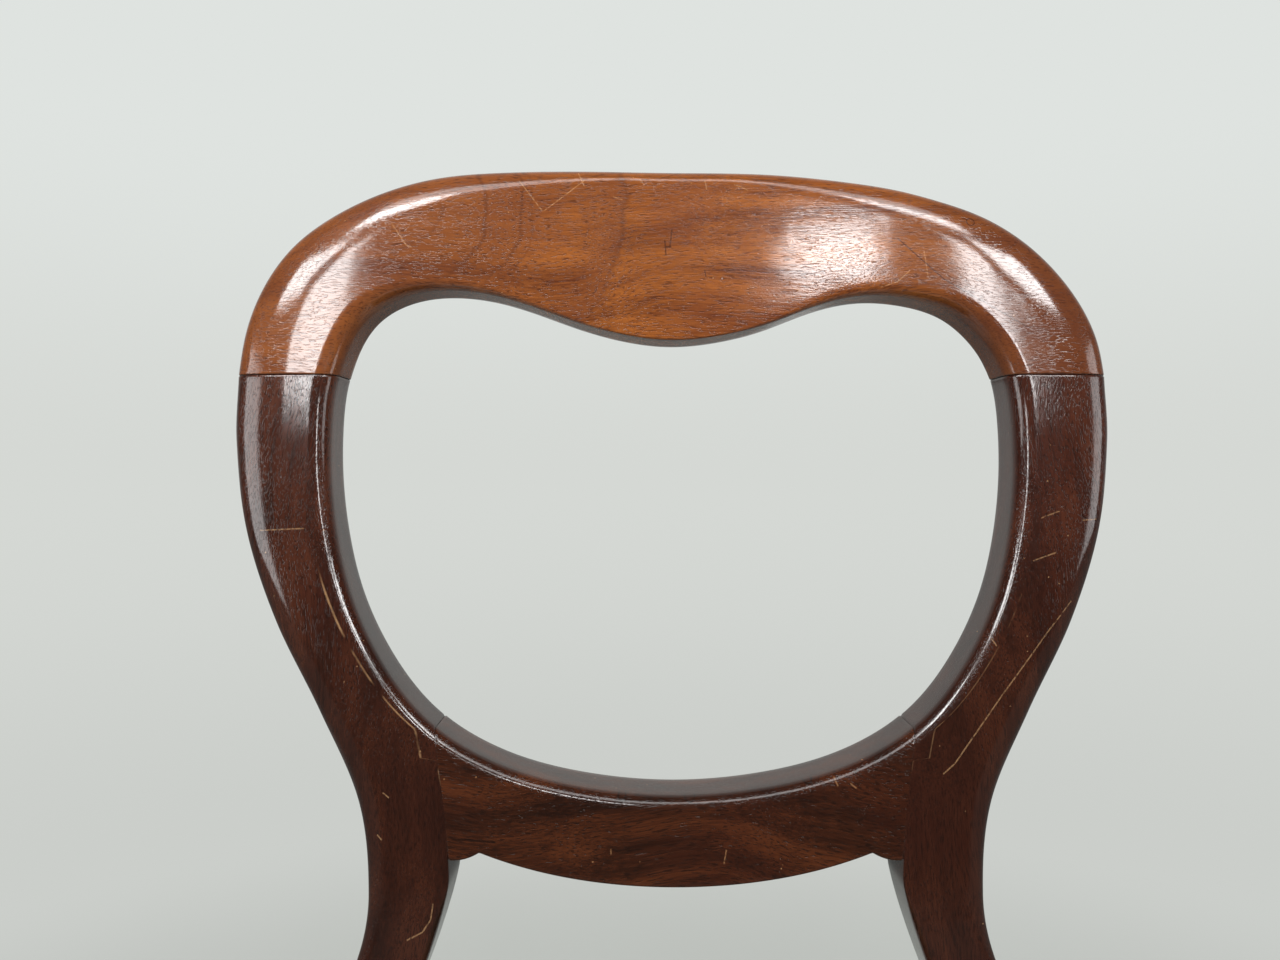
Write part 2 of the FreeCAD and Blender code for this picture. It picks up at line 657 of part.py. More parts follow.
def build_drop_in_seat(shapes):
    ledge = rail_top - rebate_depth
    frame_low = ledge + cover_thickness
    skin = seat_clearance + cover_thickness
    frame_inset = skin + calico_thickness
    inner = frame_inset + seat_frame_width
    ring = rounded_prism(frame_inset, frame_low, seat_frame_top).cut(
        plan_prism(inner, frame_low - 1, seat_frame_top + 1))
    front_y, rear_y = seat_plan(inner, 0)[1].y, seat_plan(inner, 0)[0].y
    wide = front_half_width + 10
    shapes["seat_frame_front"] = ring.common(box(-wide, wide, -seat_depth, front_y, 0, 600)).Solids[0]
    shapes["seat_frame_back"] = ring.common(box(-wide, wide, rear_y, 0, 0, 600)).Solids[0]
    side = ring.common(box(0, wide, front_y, rear_y, 0, 600)).Solids[0]
    shapes["seat_frame_left"] = mirrored(side)
    shapes["seat_frame_right"] = side
    pins = []
    for y in (front_y, rear_y):
        across = side_point(y, lip + inner - seat_frame_width / 2, (frame_low + seat_frame_top) / 2)
        for shift in (-12, 12):
            for sign in (-1, 1):
                centre = V(sign * (across.x + shift), y, across.z)
                pins.append(rod(centre, V(0, 1, 0), seat_dowel_radius, seat_dowel_length))
    bores = [rod(pin.CenterOfMass, V(0, 1, 0), seat_dowel_radius + dowel_clearance, seat_dowel_length + 1)
             for pin in pins]
    frame_names = ["seat_frame_front", "seat_frame_back", "seat_frame_left", "seat_frame_right"]
    cut_all(shapes, frame_names, bores)
    shapes["seat_frame_dowels"] = Part.makeCompound(pins)

    strip_z = seat_frame_top + webbing_thickness / 2
    reach = seat_frame_width - 8
    middle_y = (front_y + rear_y) / 2
    long_x = [-long_webbing_pitch, 0, long_webbing_pitch]
    cross_y = [middle_y - cross_webbing_pitch, middle_y, middle_y + cross_webbing_pitch]
    start_y, end_y = front_y - reach, rear_y + reach
    for index, x in enumerate(long_x):
        crossings = [y - start_y for y in cross_y]
        shapes["webbing_long_" + str(index + 1)] = strip(V(x, start_y, strip_z), V(x, end_y, strip_z),
                                                         V(1, 0, 0), crossings, index % 2 == 0)
    for index, y in enumerate(cross_y):
        half = side_point(y, lip + inner).x + reach - 10
        crossings = [x + half for x in long_x]
        shapes["webbing_cross_" + str(index + 1)] = strip(V(-half, y, strip_z), V(half, y, strip_z),
                                                          V(0, 1, 0), crossings, index % 2 == 1)
    hessian_low = seat_frame_top + 1.5 * webbing_thickness + 0.1
    hessian_high = hessian_low + hessian_thickness
    shapes["hessian"] = plan_prism(frame_inset + 5, hessian_low, hessian_high)
    outer = crowned(seat_clearance, ledge, 0)
    under_cover = crowned(skin, frame_low, cover_thickness)
    under_calico = crowned(frame_inset, frame_low, cover_thickness + calico_thickness)
    stuffing = under_calico.common(plan_prism(0, hessian_high, rail_top + 100)).Solids[0]
    shapes["stuffing"] = stuffing
    shapes["calico"] = under_cover.cut(under_calico).Solids[0]
    window = plan_prism(skin + turn_under, ledge - 1, frame_low + 1)
    shapes["seat_cover"] = outer.cut([under_cover, window]).Solids[0]

    tacks = []
    corners = seat_plan(skin + turn_under - tack_radius - 1.5, ledge)
    for first, second in zip(corners, corners[1:] + corners[:1]):
        count = int((second - first).Length // tack_spacing)
        for index in range(count):
            place = first + (second - first) * ((index + 0.5) / count)
            head = Part.makeCone(tack_radius * 0.6, tack_radius, tack_head, place - V(0, 0, tack_head))
            shank = Part.makeCone(0.9, 0.2, tack_length, place)
            tacks.append(head.fuse(shank))
    group = Part.makeCompound(tacks)
    cut_all(shapes, frame_names + ["seat_cover"], [group])
    shapes["tacks"] = group


def build_chair():
    shapes = build_back()
    build_seat_rails(shapes)
    build_corner_blocks(shapes)
    build_dowels(shapes)
    build_drop_in_seat(shapes)
    whole = Part.makeCompound(list(shapes.values())).optimalBoundingBox(False, False)
    shift = V(-(whole.XMin + whole.XMax) / 2, -(whole.YMin + whole.YMax) / 2, -whole.ZMin)
    print("moved by", shift, "overall", whole.XLength, whole.YLength, whole.ZLength)
    for name in shapes:
        shapes[name].translate(shift)
    return shapes


os.makedirs("parts", exist_ok=True)
for name, shape in build_chair().items():
    print(name, shape.isValid(), len(shape.Solids), round(shape.Volume))
    shape.exportStep("parts/" + name + ".step")
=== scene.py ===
import math

import bpy
import numpy as np
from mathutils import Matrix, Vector


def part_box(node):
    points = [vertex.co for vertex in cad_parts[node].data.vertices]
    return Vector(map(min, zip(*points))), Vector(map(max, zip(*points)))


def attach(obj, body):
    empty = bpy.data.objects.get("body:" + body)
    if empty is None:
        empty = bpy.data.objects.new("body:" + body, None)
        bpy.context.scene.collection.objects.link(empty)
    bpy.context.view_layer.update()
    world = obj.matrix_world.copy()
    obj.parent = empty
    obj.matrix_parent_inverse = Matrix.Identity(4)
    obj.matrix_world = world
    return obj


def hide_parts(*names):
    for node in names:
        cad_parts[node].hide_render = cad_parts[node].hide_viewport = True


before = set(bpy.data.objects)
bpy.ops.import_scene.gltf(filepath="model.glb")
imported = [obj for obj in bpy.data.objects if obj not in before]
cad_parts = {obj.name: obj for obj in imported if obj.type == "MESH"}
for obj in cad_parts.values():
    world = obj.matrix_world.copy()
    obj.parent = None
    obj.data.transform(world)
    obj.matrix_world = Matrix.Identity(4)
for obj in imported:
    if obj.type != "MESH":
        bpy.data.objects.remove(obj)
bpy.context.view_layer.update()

scene = bpy.context.scene
scene.view_settings.view_transform = "Standard"
mm = 0.001

# The chair is drawn in millimetres with y = 0 on the front of the back legs at the seat
seatDepth = 400.0
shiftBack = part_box("front_leg_left")[0].y / mm + seatDepth


# The camera stands level, close to the chair's back, just above the middle of the balloon
cameraSet = {
    "place": (-15.3, -359.4, 721.3),
    "focalPixels": 887.0,  # for an image 1280 pixels wide
    "imageWidth": 1280.0,
    "sensor": 36.0,
}


# a level camera from a place and a focal length in pixels
def buildCamera(p):
    data = bpy.data.cameras.new("camera")
    data.sensor_width = p["sensor"]
    data.lens = p["focalPixels"] / p["imageWidth"] * p["sensor"]
    data.clip_start = 0.01
    camera = bpy.data.objects.new("camera", data)
    x, y, z = p["place"]
    camera.location = (x * mm, (y + shiftBack) * mm, z * mm)
    camera.rotation_euler = (math.pi / 2, 0, 0)
    scene.collection.objects.link(camera)
    scene.camera = camera


buildCamera(cameraSet)
print("camera placed")


# Curves and surfaces, worked out as arrays

# a natural cubic spline through the points, by chord length, at evenly spaced places: (count, 2)
def naturalCurve(points, count):
    p = np.array(points, float)
    t = np.concatenate([[0], np.cumsum(np.hypot(*np.diff(p, axis=0).T))])
    h = np.diff(t)
    size = len(p)
    matrix = np.eye(size)
    right = np.zeros((size, 2))
    for i in range(1, size - 1):
        matrix[i, i - 1:i + 2] = h[i - 1], 2 * (h[i - 1] + h[i]), h[i]
        right[i] = 6 * ((p[i + 1] - p[i]) / h[i] - (p[i] - p[i - 1]) / h[i - 1])
    bend = np.linalg.solve(matrix, right)
    s = np.linspace(0, t[-1], count)
    i = np.clip(np.searchsorted(t, s, side="right") - 1, 0, size - 2)
    a, b, w = (t[i + 1] - s)[:, None], (s - t[i])[:, None], h[i][:, None]
    return (bend[i] * a ** 3 / (6 * w) + bend[i + 1] * b ** 3 / (6 * w)
            + (p[i] / w - bend[i] * w / 6) * a + (p[i + 1] / w - bend[i + 1] * w / 6) * b)


# a smooth curve of cubic pieces through (place, value) points, each point's slope taken from its neighbours
def smoothAt(points, places):
    p = np.array(points, float)
    ends = np.arange(len(p))
    before, after = np.maximum(ends - 1, 0), np.minimum(ends + 1, len(p) - 1)
    slope = (p[after, 1] - p[before, 1]) / (p[after, 0] - p[before, 0])
    x = np.clip(np.asarray(places, float), p[0, 0], p[-1, 0])
    i = np.clip(np.searchsorted(p[:, 0], x, side="left") - 1, 0, len(p) - 2)
    w = p[i + 1, 0] - p[i, 0]
    t = (x - p[i, 0]) / w
    return ((2 * t ** 3 - 3 * t ** 2 + 1) * p[i, 1] + (t ** 3 - 2 * t ** 2 + t) * w * slope[i]
            + (3 * t ** 2 - 2 * t ** 3) * p[i + 1, 1] + (t ** 3 - t ** 2) * w * slope[i + 1])


# least distance from each (x, z) to the straight pieces of a curve
def distanceTo(curve, x, z):
    start, run = curve[:-1], np.diff(curve, axis=0)
    flat = np.stack([x.ravel(), z.ravel()], 1)
    best = np.full(len(flat), 1e9)
    for low in range(0, len(flat), 4000):
        part = flat[low:low + 4000, None, :] - start[None]
        along = np.clip((part * run).sum(2) / (run ** 2).sum(1), 0, 1)
        gap = part - along[:, :, None] * run
        best[low:low + 4000] = np.sqrt((gap ** 2).sum(2).min(1))
    return best.reshape(x.shape)


# how far a quarter-oval rounding falls behind the face, at a distance in from the edge
def ovalDrop(distance, width, depth):
    share = np.clip(1 - distance / width, 0, 1)
    return depth * (1 - np.sqrt(np.clip(1 - share ** 2, 0, 1)))


# signed volume of a mesh, positive where its faces point outwards
def volumeOf(mesh):
    mesh.calc_loop_triangles()
    corners = np.zeros(len(mesh.loop_triangles) * 3, np.int32)
    mesh.loop_triangles.foreach_get("vertices", corners)
    a, b, c = pointsOf(mesh)[corners.reshape(-1, 3)].transpose(1, 0, 2)
    return float((a * np.cross(b, c)).sum() / 6)


# the mesh's points, (count, 3)
def pointsOf(mesh):
    points = np.zeros(len(mesh.vertices) * 3)
    mesh.vertices.foreach_get("co", points)
    return points.reshape(-1, 3)


# a mesh from points and faces, turned to face outwards, with attributes of one or three numbers a point
def newPiece(name, points, faces, material, attributes=None, flatFaces=()):
    mesh = bpy.data.meshes.new(name)
    mesh.from_pydata(points.tolist(), [], faces)
    smooth = np.ones(len(mesh.polygons), bool)
    smooth[list(flatFaces)] = False
    mesh.polygons.foreach_set("use_smooth", smooth)
    if volumeOf(mesh) < 0:
        mesh.flip_normals()
    for key, values in (attributes or {}).items():
        kind, slot = ("FLOAT", "value") if values.shape[-1] == 1 else ("FLOAT_VECTOR", "vector")
        mesh.attributes.new(key, kind, "POINT").data.foreach_set(slot, values.ravel().astype(np.float32))
    mesh.materials.append(material)
    mesh.update()
    piece = bpy.data.objects.new(name, mesh)
    scene.collection.objects.link(piece)
    return piece


# a closed skin over rings of points, (rings, points, 3) in metres, with a flat face at each end
def ringPiece(name, rings, material, attributes=None, closed=True):
    count, around, _ = rings.shape
    index = np.arange(count * around).reshape(count, around)
    a, b = index[:-1], index[1:]
    faces = np.stack([a, np.roll(a, -1, 1), np.roll(b, -1, 1), b], 2).reshape(-1, 4).tolist()
    if closed:
        faces += [index[0][::-1].tolist(), index[-1].tolist()]
    ends = (len(faces) - 2, len(faces) - 1) if closed else ()
    values = {key: v.reshape(count * around, -1) for key, v in (attributes or {}).items()}
    return newPiece(name, rings.reshape(-1, 3), faces, material, values, ends)


# an sRGB hex colour as linear red, green, blue and alpha
def linear(hexColour):
    parts = [int(hexColour[i:i + 2], 16) / 255 for i in (1, 3, 5)]
    return [c / 12.92 if c <= 0.04045 else ((c + 0.055) / 1.055) ** 2.4 for c in parts] + [1.0]


smooth = {"interpolation_type": "SMOOTHSTEP"}   # eases a Map Range at both ends
colours = {"data_type": "RGBA", "out": 2}   # makes a Mix blend two colours


# adds a node of a kind. Its inputs are numbers, hex colours or the sockets that feed them, in order or by name
def add(tree, kind, inputs=(), out=0, stops=(), **settings):
    node = tree.nodes.new("ShaderNode" + kind)
    for key, value in settings.items():
        setattr(node, key, value)
    for extra in stops[2:]:
        node.color_ramp.elements.new(0.5)
    for stop, (place, colour) in enumerate(stops):
        node.color_ramp.elements[stop].position = place
        node.color_ramp.elements[stop].color = linear(colour)
    for key, value in (inputs if isinstance(inputs, dict) else dict(enumerate(inputs))).items():
        if isinstance(value, bpy.types.NodeSocket):
            tree.links.new(value, node.inputs[key])
        else:
            node.inputs[key].default_value = linear(value) if isinstance(value, str) else value
    return node.outputs[out] if node.outputs else node


# uneven patches or streaks, by noise that is stretched to vary over a size in millimetres along each axis
def patches(tree, place, size, detail=2.0, rough=0.5):
    stretched = add(tree, "VectorMath", (place, [1 / length for length in size]), operation="MULTIPLY")
    return add(tree, "TexNoise", {"Vector": stretched, "Scale": 1.0, "Detail": detail, "Roughness": rough})


# a material for a finish: constants are set on its shader's own sockets
def newMaterial(name, constants):
    material = bpy.data.materials.new(name)
    material.use_nodes = True
    tree = material.node_tree
    tree.nodes.clear()
    surface = add(tree, "BsdfPrincipled", constants)
    add(tree, "OutputMaterial", (surface,))
    return material, tree, surface.node


# a point's place on the object, in millimetres
def millimetres(tree):
    place = add(tree, "TexCoord", out="Object")
    return add(tree, "VectorMath", (place, (1000.0,) * 3), operation="MULTIPLY")


# lays colours over one another, each by its strength times its shares
def layColours(tree, colour, layers):
    for over, strength, *shares in layers:
        for share in shares:
            strength = add(tree, "Math", (strength, share), operation="MULTIPLY")
        colour = add(tree, "Mix", {0: strength, 6: colour, 7: over}, **colours)
    return colour


# links a colour, a roughness and a height in millimetres to the shader
def finishShader(tree, shader, colour, rough, height, coat=False):
    tree.links.new(colour, shader.inputs["Base Color"])
    tree.links.new(rough, shader.inputs["Roughness"])
    relief = add(tree, "Bump", {"Height": height, "Strength": 1.0, "Distance": mm})
    tree.links.new(relief, shader.inputs["Normal"])
    if coat:
        tree.links.new(relief, shader.inputs["Coat Normal"])


# Mahogany: sawn and scraped, then French polished, which lays a thin clear gloss over straight grain
# with short dark pores. Old polish is scratched and rubbed through to tan wood on the arrises.
# Lengths in millimetres; real pores are 0.1 wide and would not show, so they are drawn wider.
grainSizes = {
    "band": (240.0, 15.0),
    "fibre": (38.0, 0.8),
    "pore": (4.5, 0.5),
    "drift": 110.0,
    "wander": 40.0,
    "poreDepth": 0.02,
    "fibreDepth": 0.02,
    "unevenness": 0.15,
}
crestWood = {
    "dark": "#4c220a", "middle": "#774118", "light": "#905220", "red": "#5a2a16", "pores": "#35160a",
    "along": "XZY", "redness": 0.35, "rubbed": "#b98a5c",
}
stileWood = {
    "dark": "#1d0a04", "middle": "#36180d", "light": "#482415", "red": "#2f1109", "pores": "#130603",
    "along": "ZXY", "redness": 0.5, "rubbed": "#b08a62",
}
railWood = {
    "dark": "#1a0903", "middle": "#2f1407", "light": "#45210d", "red": "#2a0e07", "pores": "#100502",
    "along": "XZY", "redness": 0.3, "rubbed": "#a87c54",
}

# Marks on the polish, as runs of (x, height) on the front
crestMarks = [
    [(-75.9, 871.7), (-63.9, 855.6), (-43.1, 872.8)], [(-46.7, 877.2), (-43.5, 869.6)],
    [(96.2, 841.3), (105.9, 843.9)], [(117.1, 824.1), (110.9, 818.4), (102.8, 815.8)],
    [(124.7, 834.0), (125.8, 821.0)], [(-136.6, 855.6), (-135.9, 851.9)],
    [(-138.2, 848.2), (-130.6, 837.1), (-128.1, 836.1)], [(-15.3, 873.4), (-13.3, 870.6)],
    [(17.5, 872.8), (18.5, 868.0)], [(32.6, 870.6), (39.1, 867.4)], [(-29.4, 864.2), (-24.3, 862.6)],
    [(60.4, 840.8), (58.8, 837.1)]]
crestCracks = [
    [(-2.9, 840.8), (-2.4, 833.4)], [(0.7, 846.6), (-0.4, 837.6)], [(-2.4, 837.6), (0.1, 837.6)],
    [(112.2, 840.8), (133.6, 819.4), (172.0, 795.4)], [(-184.7, 790.9), (-179.3, 791.1)],
    [(16.8, 825.1), (17.3, 822.0)]]
stileMarks = [
    [(-191.1, 698.0), (-170.3, 699.0)], [(-126.3, 585.9), (-124.0, 584.2)],
    [(-127.8, 569.0), (-126.0, 567.4)], [(-102.6, 542.4), (-103.2, 536.6), (-106.4, 531.9), (-112.6, 528.9)],
    [(181.2, 666.0), (168.8, 653.4), (144.9, 625.9), (121.7, 597.7), (116.4, 593.6)],
    [(142.8, 649.7), (144.4, 647.1)], [(178.7, 706.8), (170.4, 703.8)], [(189.9, 702.6), (197.4, 703.1)],
    [(164.8, 684.4), (175.3, 688.0)]]
railMarks = [
    [(-89.1, 606.4), (-87.3, 605.1)], [(-27.8, 562.3), (-27.8, 560.7)], [(76.2, 589.5), (78.3, 587.9)],
    [(69.3, 591.6), (70.5, 588.7)], [(21.8, 561.9), (20.8, 556.8)]]
railCracks = [[(-95.3, 567.4), (-88.8, 567.4), (-77.5, 566.2)]]
railPlugs = [(6.5, 583.0, 2.3), (57.9, 590.7, 2.0), (-23.2, 583.0, 1.6)]  # x, height, radius
crestPlugs = [(149.2, 849.8, 2.0)]


# distance in millimetres, on the front, to the nearest of the marks' straight pieces:
# the foot of each point on a piece is its dot product along the piece, held between the ends
def markDistance(tree, front, marks):
    nearest = None
    for mark in marks:
        for (ax, az), (bx, bz) in zip(mark, mark[1:]):
            run = (bx - ax, 0.0, bz - az)
            fromStart = add(tree, "VectorMath", (front, (ax, 0.0, az)), operation="SUBTRACT")
            length = run[0] ** 2 + run[2] ** 2
            dot = add(tree, "VectorMath", (fromStart, [c / length for c in run]), "Value",
                      operation="DOT_PRODUCT")
            share = add(tree, "Clamp", (dot,))
            foot = add(tree, "VectorMath", {0: run, "Scale": share}, operation="SCALE")
            gap = add(tree, "VectorMath", (fromStart, foot), "Value", operation="DISTANCE")
            nearest = gap if nearest is None else add(tree, "Math", (nearest, gap), operation="MINIMUM")
    return nearest


# distance to the outline of the nearest round plug
def plugDistance(tree, front, plugs):
    nearest = None
    for x, z, radius in plugs:
        away = add(tree, "VectorMath", (front, (x, 0.0, z)), "Value", operation="DISTANCE")
        gap = add(tree, "Math", (away, radius), operation="SUBTRACT")
        gap = add(tree, "Math", (gap,), operation="ABSOLUTE")
        nearest = gap if nearest is None else add(tree, "Math", (nearest, gap), operation="MINIMUM")
    return nearest


# Figure of the crest's wood: lines at these levels of its arches, with a width and a strength each,
# then tones with a strength each
figure = {
    "middle": (-130.0, 853.0),   # x and height
    "lean": 212,   # degrees
    "squash": 0.93,
    "ripple": 12.0,
    "lines": ((14, 1.6, 0.45), (37, 1.5, 0.75), (53, 1.2, 0.6), (58, 1.0, 0.35), (101, 2.2, 0.5)),
    "insideTone": ("#70432a", 0.18),
    "ringTone": ("#5c301c", 0.35),
    "lineTone": ("#45210f", 0.75),
    "rightTone": ("#4c2615", 0.8),
    "leftTone": ("#562c18", 0.5),
}


# Nested arches: the level is the distance from a middle, and to the lower left of it the distance from
# an axis, so that the lines open that way
def archLevel(tree, front):
    lean = math.radians(figure["lean"])
    middleX, middleZ = figure["middle"]
    away = add(tree, "VectorMath", (front, (middleX, 0.0, middleZ)), operation="SUBTRACT")
    axes = (math.cos(lean), 0.0, math.sin(lean)), (-math.sin(lean), 0.0, math.cos(lean))
    along, across = [add(tree, "VectorMath", (away, axis), "Value", operation="DOT_PRODUCT") for axis in axes]
    along = add(tree, "Math", (along, figure["squash"]), operation="MULTIPLY")
    along = add(tree, "Math", (along, 0.0), operation="MINIMUM")
    level = add(tree, "CombineXYZ", (along, across))
    level = add(tree, "VectorMath", (level,), "Value", operation="LENGTH")
    ripple = add(tree, "Math", (patches(tree, front, (20,) * 3, 3.0), 0.5), operation="SUBTRACT")
    return add(tree, "Math", (ripple, figure["ripple"], level), operation="MULTIPLY_ADD")


# the crest's figure, as colours to lay over its wood
def archLayers(tree, front, x, z):
    level = archLevel(tree, front)
    line = 0.0
    for radius, width, depth in figure["lines"]:
        gap = add(tree, "Math", (level, radius), operation="SUBTRACT")
        gap = add(tree, "Math", (gap,), operation="ABSOLUTE")
        mark = add(tree, "MapRange", (gap, 0.2, width, depth, 0.0), **smooth)
        line = add(tree, "Math", (line, mark), operation="MAXIMUM")
    inside = add(tree, "MapRange", (level, 38.0, 104.0, 1.0, 0.0), **smooth)
    rising = add(tree, "MapRange", (level, 74.0, 99.0), **smooth)
    falling = add(tree, "MapRange", (level, 100.0, 103.0, 1.0, 0.0), **smooth)
    high = add(tree, "MapRange", (z, 805.0, 832.0), **smooth)
    right = add(tree, "MapRange", (x, 70.0, 185.0), **smooth)
    left = add(tree, "MapRange", (x, 0.0, -150.0), **smooth)
    return [(*figure["insideTone"], inside), (*figure["ringTone"], rising, falling),
            (*figure["lineTone"], line, high), (*figure["rightTone"], right), (*figure["leftTone"], left)]


# Polished mahogany: streaked tones along the board, dark pores, then the marks of use, dark lines at joints
# and under the crest's top, and a clear coat over all. paintedShade darkens it from one height down to
# another, by a share, as painted shade where less light falls
def mahogany(name, p, marks=(), cracks=(), plugs=(), figured=False, paintedShade=None, rubbing=False):
    g = grainSizes
    material, tree, shader = newMaterial(name, {
        "Specular IOR Level": 0.02, "Coat Weight": 1.0, "Coat Roughness": 0.09, "Coat IOR": 1.5})
    place = millimetres(tree)
    x, y, z = add(tree, "SeparateXYZ", (place,)).node.outputs
    board = add(tree, "CombineXYZ", [{"X": x, "Y": y, "Z": z}[letter] for letter in p["along"]])
    front = add(tree, "CombineXYZ", (x, 0.0, z))
    drift = add(tree, "TexNoise", {"Vector": board, "Scale": 1 / g["drift"], "Detail": 1.0}, "Color")
    drift = add(tree, "VectorMath", (drift, (0.5,) * 3), operation="SUBTRACT")
    wander = (0.0, g["wander"], g["wander"])
    grain = add(tree, "VectorMath", (drift, wander, board), operation="MULTIPLY_ADD")

    def streaks(size, detail):
        length, width = size
        return patches(tree, grain, (length, width, width), detail, 0.6)
    bands, fibres, pores = streaks(g["band"], 3.0), streaks(g["fibre"], 2.0), streaks(g["pore"], 0.0)
    tone = add(tree, "Math", (fibres, 0.34), operation="MULTIPLY")
    tone = add(tree, "Math", (bands, 0.66, tone), operation="MULTIPLY_ADD")
    colour = add(tree, "ValToRGB", (tone,), stops=[(0.36, p["dark"]), (0.5, p["middle"]), (0.64, p["light"])])
    cloud = add(tree, "MapRange", (patches(tree, place, (60,) * 3), 0.42, 0.7), **smooth)
    layers = [(p["red"], p["redness"], cloud)]
    if figured:
        layers += archLayers(tree, front, x, z)
    # painted shade: the wood is darkened towards the bottom, where less light falls
    if paintedShade:
        low, high, share = paintedShade
        layers.append((p["dark"], share, add(tree, "MapRange", (z, low, high, 1.0, 0.0), **smooth)))
    thread = add(tree, "MapRange", (pores, 0.57, 0.68), **smooth)
    layers.append((p["pores"], 0.6, thread))
    onFront = add(tree, "Attribute", out="Fac", attribute_name="onFront")
    if marks:
        scrape = add(tree, "MapRange", (markDistance(tree, front, marks), 0.1, 0.42, 1.0, 0.0), **smooth)
        broken = add(tree, "MapRange", (patches(tree, front, (5 / 3,) * 3), 0.3, 0.55), **smooth)
        layers.append((p["rubbed"], 0.34, scrape, broken, onFront))
    if cracks:
        crack = add(tree, "MapRange", (markDistance(tree, front, cracks), 0.15, 0.5, 1.0, 0.0), **smooth)
        layers.append((p["pores"], 0.8, crack, onFront))
    if plugs:
        plug = add(tree, "MapRange", (plugDistance(tree, front, plugs), 0.15, 0.5, 1.0, 0.0), **smooth)
        layers.append((p["pores"], 0.8, plug, onFront))
    # small nicks and specks all over the old polish
    nick = add(tree, "TexVoronoi", {"Vector": place, "Scale": 0.11}, "Distance")
    layers.append((p["rubbed"], 0.5, add(tree, "MapRange", (nick, 0.02, 0.05, 1.0, 0.0), **smooth)))
    if rubbing:
        worn = add(tree, "Attribute", out="Fac", attribute_name="rubbed")
        worn = add(tree, "MapRange", (worn, 0.5, 0.95), **smooth)
        patchy = add(tree, "MapRange", (patches(tree, place, (100 / 9,) * 3, 3.0), 0.4, 0.62), **smooth)
        layers.append((p["rubbed"], 0.5, worn, patchy))
    layers.append(("#150a06", 0.85, add(tree, "Attribute", out="Fac", attribute_name="darkLines")))
    colour = layColours(tree, colour, layers)

    rough = add(tree, "MapRange", (fibres, 0.3, 0.7, 0.34, 0.5), **smooth)
    height = add(tree, "Math", (fibres, g["fibreDepth"]), operation="MULTIPLY")
    height = add(tree, "Math", (thread, -g["poreDepth"], height), operation="MULTIPLY_ADD")
    hand = patches(tree, place, (22,) * 3, 1.0)
    height = add(tree, "Math", (hand, g["unevenness"], height), operation="MULTIPLY_ADD")
    finishShader(tree, shader, colour, rough, height, True)
    return material


crestMahogany = mahogany("mahogany_crest_french_polished", crestWood, crestMarks, crestCracks, crestPlugs,
                         figured=True, rubbing=True)
# the stiles get painted shade from 740 mm down to 600 mm, for the light that falls off lower down
stileMahogany = mahogany("mahogany_stile_french_polished", stileWood, stileMarks, paintedShade=(600.0, 740.0, 0.6),
                         rubbing=True)
railMahogany = mahogany("mahogany_cross_rail_french_polished", railWood, railMarks, railCracks, railPlugs,
                        rubbing=True)
print("mahogany mixed")


# The balloon back. Outlines in millimetres: (height, half width) on the legs, (x, height) on the crest
backForm = {
    "thickness": 26.0,
    "crestJoint": 772.0,
    "arris": 1.6,
    "jointArris": 0.45,
    "jointGap": 0.15,
    "shoulderRound": (26.0, 9.0),
    "crestRound": 7.0,
    "crestHollow": (161.0, 5.0),
    "railHollow": (97.0, 4.0),
    # the dark line below the crest's top: its row and its strength
    "darkLineRow": 9,   # which point of the crest's sections, counted from its top
    "darkLineStrength": 0.4,
    "openingRound": [(582, 5.0), (640, 6.0), (772, 9.0)],
    "openingRoundCrest": 1.0,
    "cusp": (84.0, 562.0),
    "bowDrop": 15.0,
    "lobeDrop": 2.8,
    "lobeBelly": 1.1,
}
legOuter = [(0, 170), (200, 168), (385, 168), (440, 163.5), (480, 150), (521, 134), (544.5, 131.5),
            (580.5, 138.6), (617.9, 159.1), (657, 182.8), (697.8, 200.3), (740.5, 209.2), (772, 211)]
legInner = [(0, 142), (200, 138), (385, 134), (440, 130.5), (480, 119), (521, 104), (547.7, 96.7),
            (559, 97), (582, 99.7), (616, 107.5), (690, 128), (772, 150)]
legFront = [(0, 78), (100, 46), (200, 22), (300, 6), (385, 0), (440, 0), (500, 6), (545, 15),
            (724, 55), (880, 86)]
legThickness = [(0, 30), (200, 34), (385, 38), (440, 38), (500, 31), (560, 26), (880, 26)]
outerRound = [(0, 5), (385, 5), (460, 5), (545, 9), (600, 16), (680, 23), (772, 26)]
outerRoundDepth = [(0, 4), (385, 4), (460, 4), (545, 6), (600, 8), (680, 9), (772, 9)]
openingLow = [(0, 582.4), (43, 586.6), (69.7, 593.4), (86.6, 600.2), (108.8, 613.7), (132.9, 640.7),
              (148, 668.4), (157, 696.9), (161.6, 722), (163.4, 748), (161.7, 772), (157.2, 787.5)]
crestOuter = [(-211, 772), (-209.5, 792.6), (-203.1, 815.7), (-188.5, 839.3), (-170.1, 854.5),
              (-147, 866.6), (-117.4, 875.4), (-87, 878.5), (-50.7, 879.6), (-0.3, 879.1), (51.9, 877.7),
              (87.9, 873.6), (116.9, 868.3), (136.5, 862.5), (156, 855), (179.5, 839.3), (193.6, 823.5),
              (203, 807.9), (209.6, 788), (211, 772)]
crestInner = [(-161.7, 772), (-157.2, 787.5), (-148.8, 801.4), (-129, 812.8), (-108.6, 815.1),
              (-87.9, 812.5), (-67, 806.2), (-46.3, 798.7), (-25.6, 792.9), (-0.3, 789.7), (25.9, 792.3),
              (46.6, 797.6), (67.4, 805.6), (88.3, 811.4), (103.3, 812.5), (119.1, 810.7), (139, 803.6),
              (150, 794), (157.8, 782.3), (161.7, 772)]
crestPivots = (-119.0, 112.0)
hoopHalf = [(-x, z) for x, z in openingLow[:0:-1]]
hoopEdge = naturalCurve(hoopHalf + openingLow, 700)


# set-back of the back's front face at a height
def frontOf(z):
    return smoothAt(legFront, z)


# set-back of a bowed face: the depth times the squared cosine, and nothing beyond half
def hollow(x, half, depth):
    return np.where(np.abs(x) < half, depth * np.cos(np.pi / 2 * np.clip(x / half, -1, 1)) ** 2, 0)


